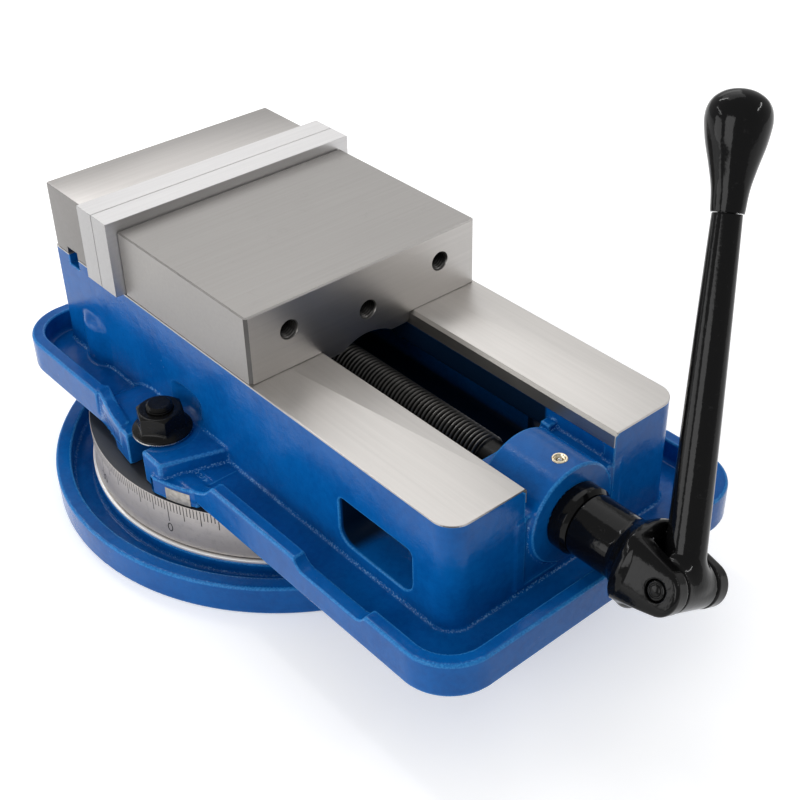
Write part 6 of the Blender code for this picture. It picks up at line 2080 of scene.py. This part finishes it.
@dataclass(frozen=True)
class Studio:
    """The pale floor, the soft lights and the white surround."""

    floor_size: float = 6.0
    floor_level: float = -0.0004
    floor_tone: float = 0.90
    floor_lift: float = 0.62
    surround: float = 0.52
    backdrop: float = 1.0
    target: Triple = (0.0, -0.05, 0.08)

    def floor(self) -> None:
        """A plain pale floor with a faint mottle, whose white glow is weaker near the vise as painted shade.
        """
        graph = Graph("studio_floor")
        cloud = graph.noise(graph.millimetres(), 0.004, 2.0)
        tone = self.floor_tone
        colour = graph.blend(cloud, (tone - 0.01,) * 3, (tone + 0.01,) * 3)
        x, y, _ = graph.parts(graph.millimetres((PER_METRE,) * 3))
        # Painted shade: the glow that keeps the floor white is weaker within half a metre of the vise, rising
        # to full past 1.8 m.
        far = graph.length(x, y).ramp(0.5, 1.8)
        white_glow_and_painted_shade = graph.blend(graph.seen(), BLACK, graph.blend(far, (0.60, 0.60, 0.60), (1.0, 1.0, 1.0)))
        material = graph.surface(
            Base_Color=colour, Roughness=0.9, Specular_IOR_Level=0.05, Emission_Color=white_glow_and_painted_shade,
            Emission_Strength=self.floor_lift
        )
        half = self.floor_size / 2
        corners = [(-half, -half), (half, -half), (half, half), (-half, half)]
        mesh = bpy.data.meshes.new("studio_floor")
        mesh.from_pydata([(x, y, self.floor_level) for x, y in corners], [], [(0, 1, 2, 3)])
        mesh.materials.append(material)
        made = bpy.data.objects.new("studio_floor", mesh)
        bpy.context.scene.collection.objects.link(made)

    def light(self, name: str, place: Numbers, size: Pair, power: float) -> None:
        """A rectangular soft light that points at the vise.

        Args:
            name: its name.
            place: where it hangs, in metres.
            size: its width and height in metres.
            power: its power in watts.
        """
        data = bpy.data.lights.new(name, "AREA")
        data.shape = "RECTANGLE"
        data.size, data.size_y = size
        data.energy = power
        made = bpy.data.objects.new(name, data)
        made.location = place
        made.rotation_euler = (Vector(self.target) - Vector(place)).to_track_quat("-Z", "Y").to_euler()
        bpy.context.scene.collection.objects.link(made)

    def lights(self) -> None:
        """A large light overhead, one from the left, and strips that draw lines on the rounded edges."""
        for name, place, size, power in (
            ("overhead", (0.45, 0.60, 1.45), (1.2, 1.0), 4.6),
            ("left", (-1.55, -0.35, 0.75), (0.9, 0.8), 8.2),
            ("back_left", (-1.25, 0.70, 0.32), (0.8, 0.5), 3.6),
            ("top_strip", (0.0, 0.98, 1.25), (0.09, 0.7), 2.4),
            ("back_right", (0.95, 1.10, 0.98), (1.1, 0.55), 1.7),
            ("back_left_strip", (-0.90, 0.95, 0.86), (0.9, 0.04), 1.5),
            ("front_right_strip", (0.84, -0.92, 0.96), (0.9, 0.04), 2.4),
        ):
            self.light(name, place, size, power)

    def world(self) -> None:
        """White where the camera looks past the vise, and a soft grey surround for everything else."""
        world = bpy.data.worlds.new("surround")
        world.use_nodes = True
        tree = world.node_tree
        tree.nodes.clear()
        path = tree.nodes.new("ShaderNodeLightPath")
        mix = tree.nodes.new("ShaderNodeMixShader")
        out = tree.nodes.new("ShaderNodeOutputWorld")
        tree.links.new(path.outputs["Is Camera Ray"], mix.inputs["Fac"])
        for number, strength in ((1, self.surround), (2, self.backdrop)):
            sky = tree.nodes.new("ShaderNodeBackground")
            sky.inputs["Color"].default_value = (1.0, 1.0, 1.0, 1.0)
            sky.inputs["Strength"].default_value = strength
            tree.links.new(sky.outputs["Background"], mix.inputs[number])
        tree.links.new(mix.outputs["Shader"], out.inputs["Surface"])
        bpy.context.scene.world = world

    def build(self) -> None:
        """Set the whole studio."""
        self.floor()
        self.lights()
        self.world()


@dataclass(frozen=True)
class Viewpoint:
    """The camera fitted to the photograph. Place, lens and sensor are in millimetres, angles in degrees."""

    place: Triple = (-347.84, -509.64, 476.27)
    azimuth: float = -41.74
    elevation: float = 35.40
    roll: float = -0.24
    lens: float = 61.30
    sensor: float = 36.0
    shift: Pair = (-0.04906, -0.01484)

    def build(self) -> None:
        """Place the camera."""
        azimuth, elevation, roll = map(math.radians, (self.azimuth, self.elevation, self.roll))
        level = math.cos(elevation)
        back = Vector((math.sin(azimuth) * level, -math.cos(azimuth) * level, math.sin(elevation)))
        right = (-back).cross(Vector((0.0, 0.0, 1.0))).normalized()
        up = right.cross(-back)
        side = math.cos(roll) * right + math.sin(roll) * up
        over = math.cos(roll) * up - math.sin(roll) * right
        data = bpy.data.cameras.new("photo_camera")
        data.lens = self.lens
        data.sensor_width = self.sensor
        data.shift_x, data.shift_y = self.shift
        data.clip_start, data.clip_end = 0.01, 50.0
        made = bpy.data.objects.new("photo_camera", data)
        made.matrix_world = seat_of(side, over, back, Vector(self.place) * PER_METRE)
        bpy.context.scene.collection.objects.link(made)
        bpy.context.scene.camera = made


def main() -> None:
    """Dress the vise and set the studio."""
    logging.basicConfig(level=logging.INFO, format="%(message)s")
    finishes = Finishes.build()
    shop = Workshop()
    for assembly in (ViseBody, SwivelBase, Clamps, Crank, LeadScrew, Jaws):
        assembly(shop, finishes).build()
        LOG.info("%s built, %d pieces so far", assembly.__name__, len(shop.made))
    dress_kept_nodes(finishes)
    Studio().build()
    Viewpoint().build()
    bpy.context.scene.view_settings.view_transform = "Standard"
    triangles = sum(len(polygon.vertices) - 2 for made in shop.made for polygon in made.data.polygons)
    LOG.info("%d pieces, %d triangles", len(shop.made), triangles)


if __name__ == "__main__":
    main()
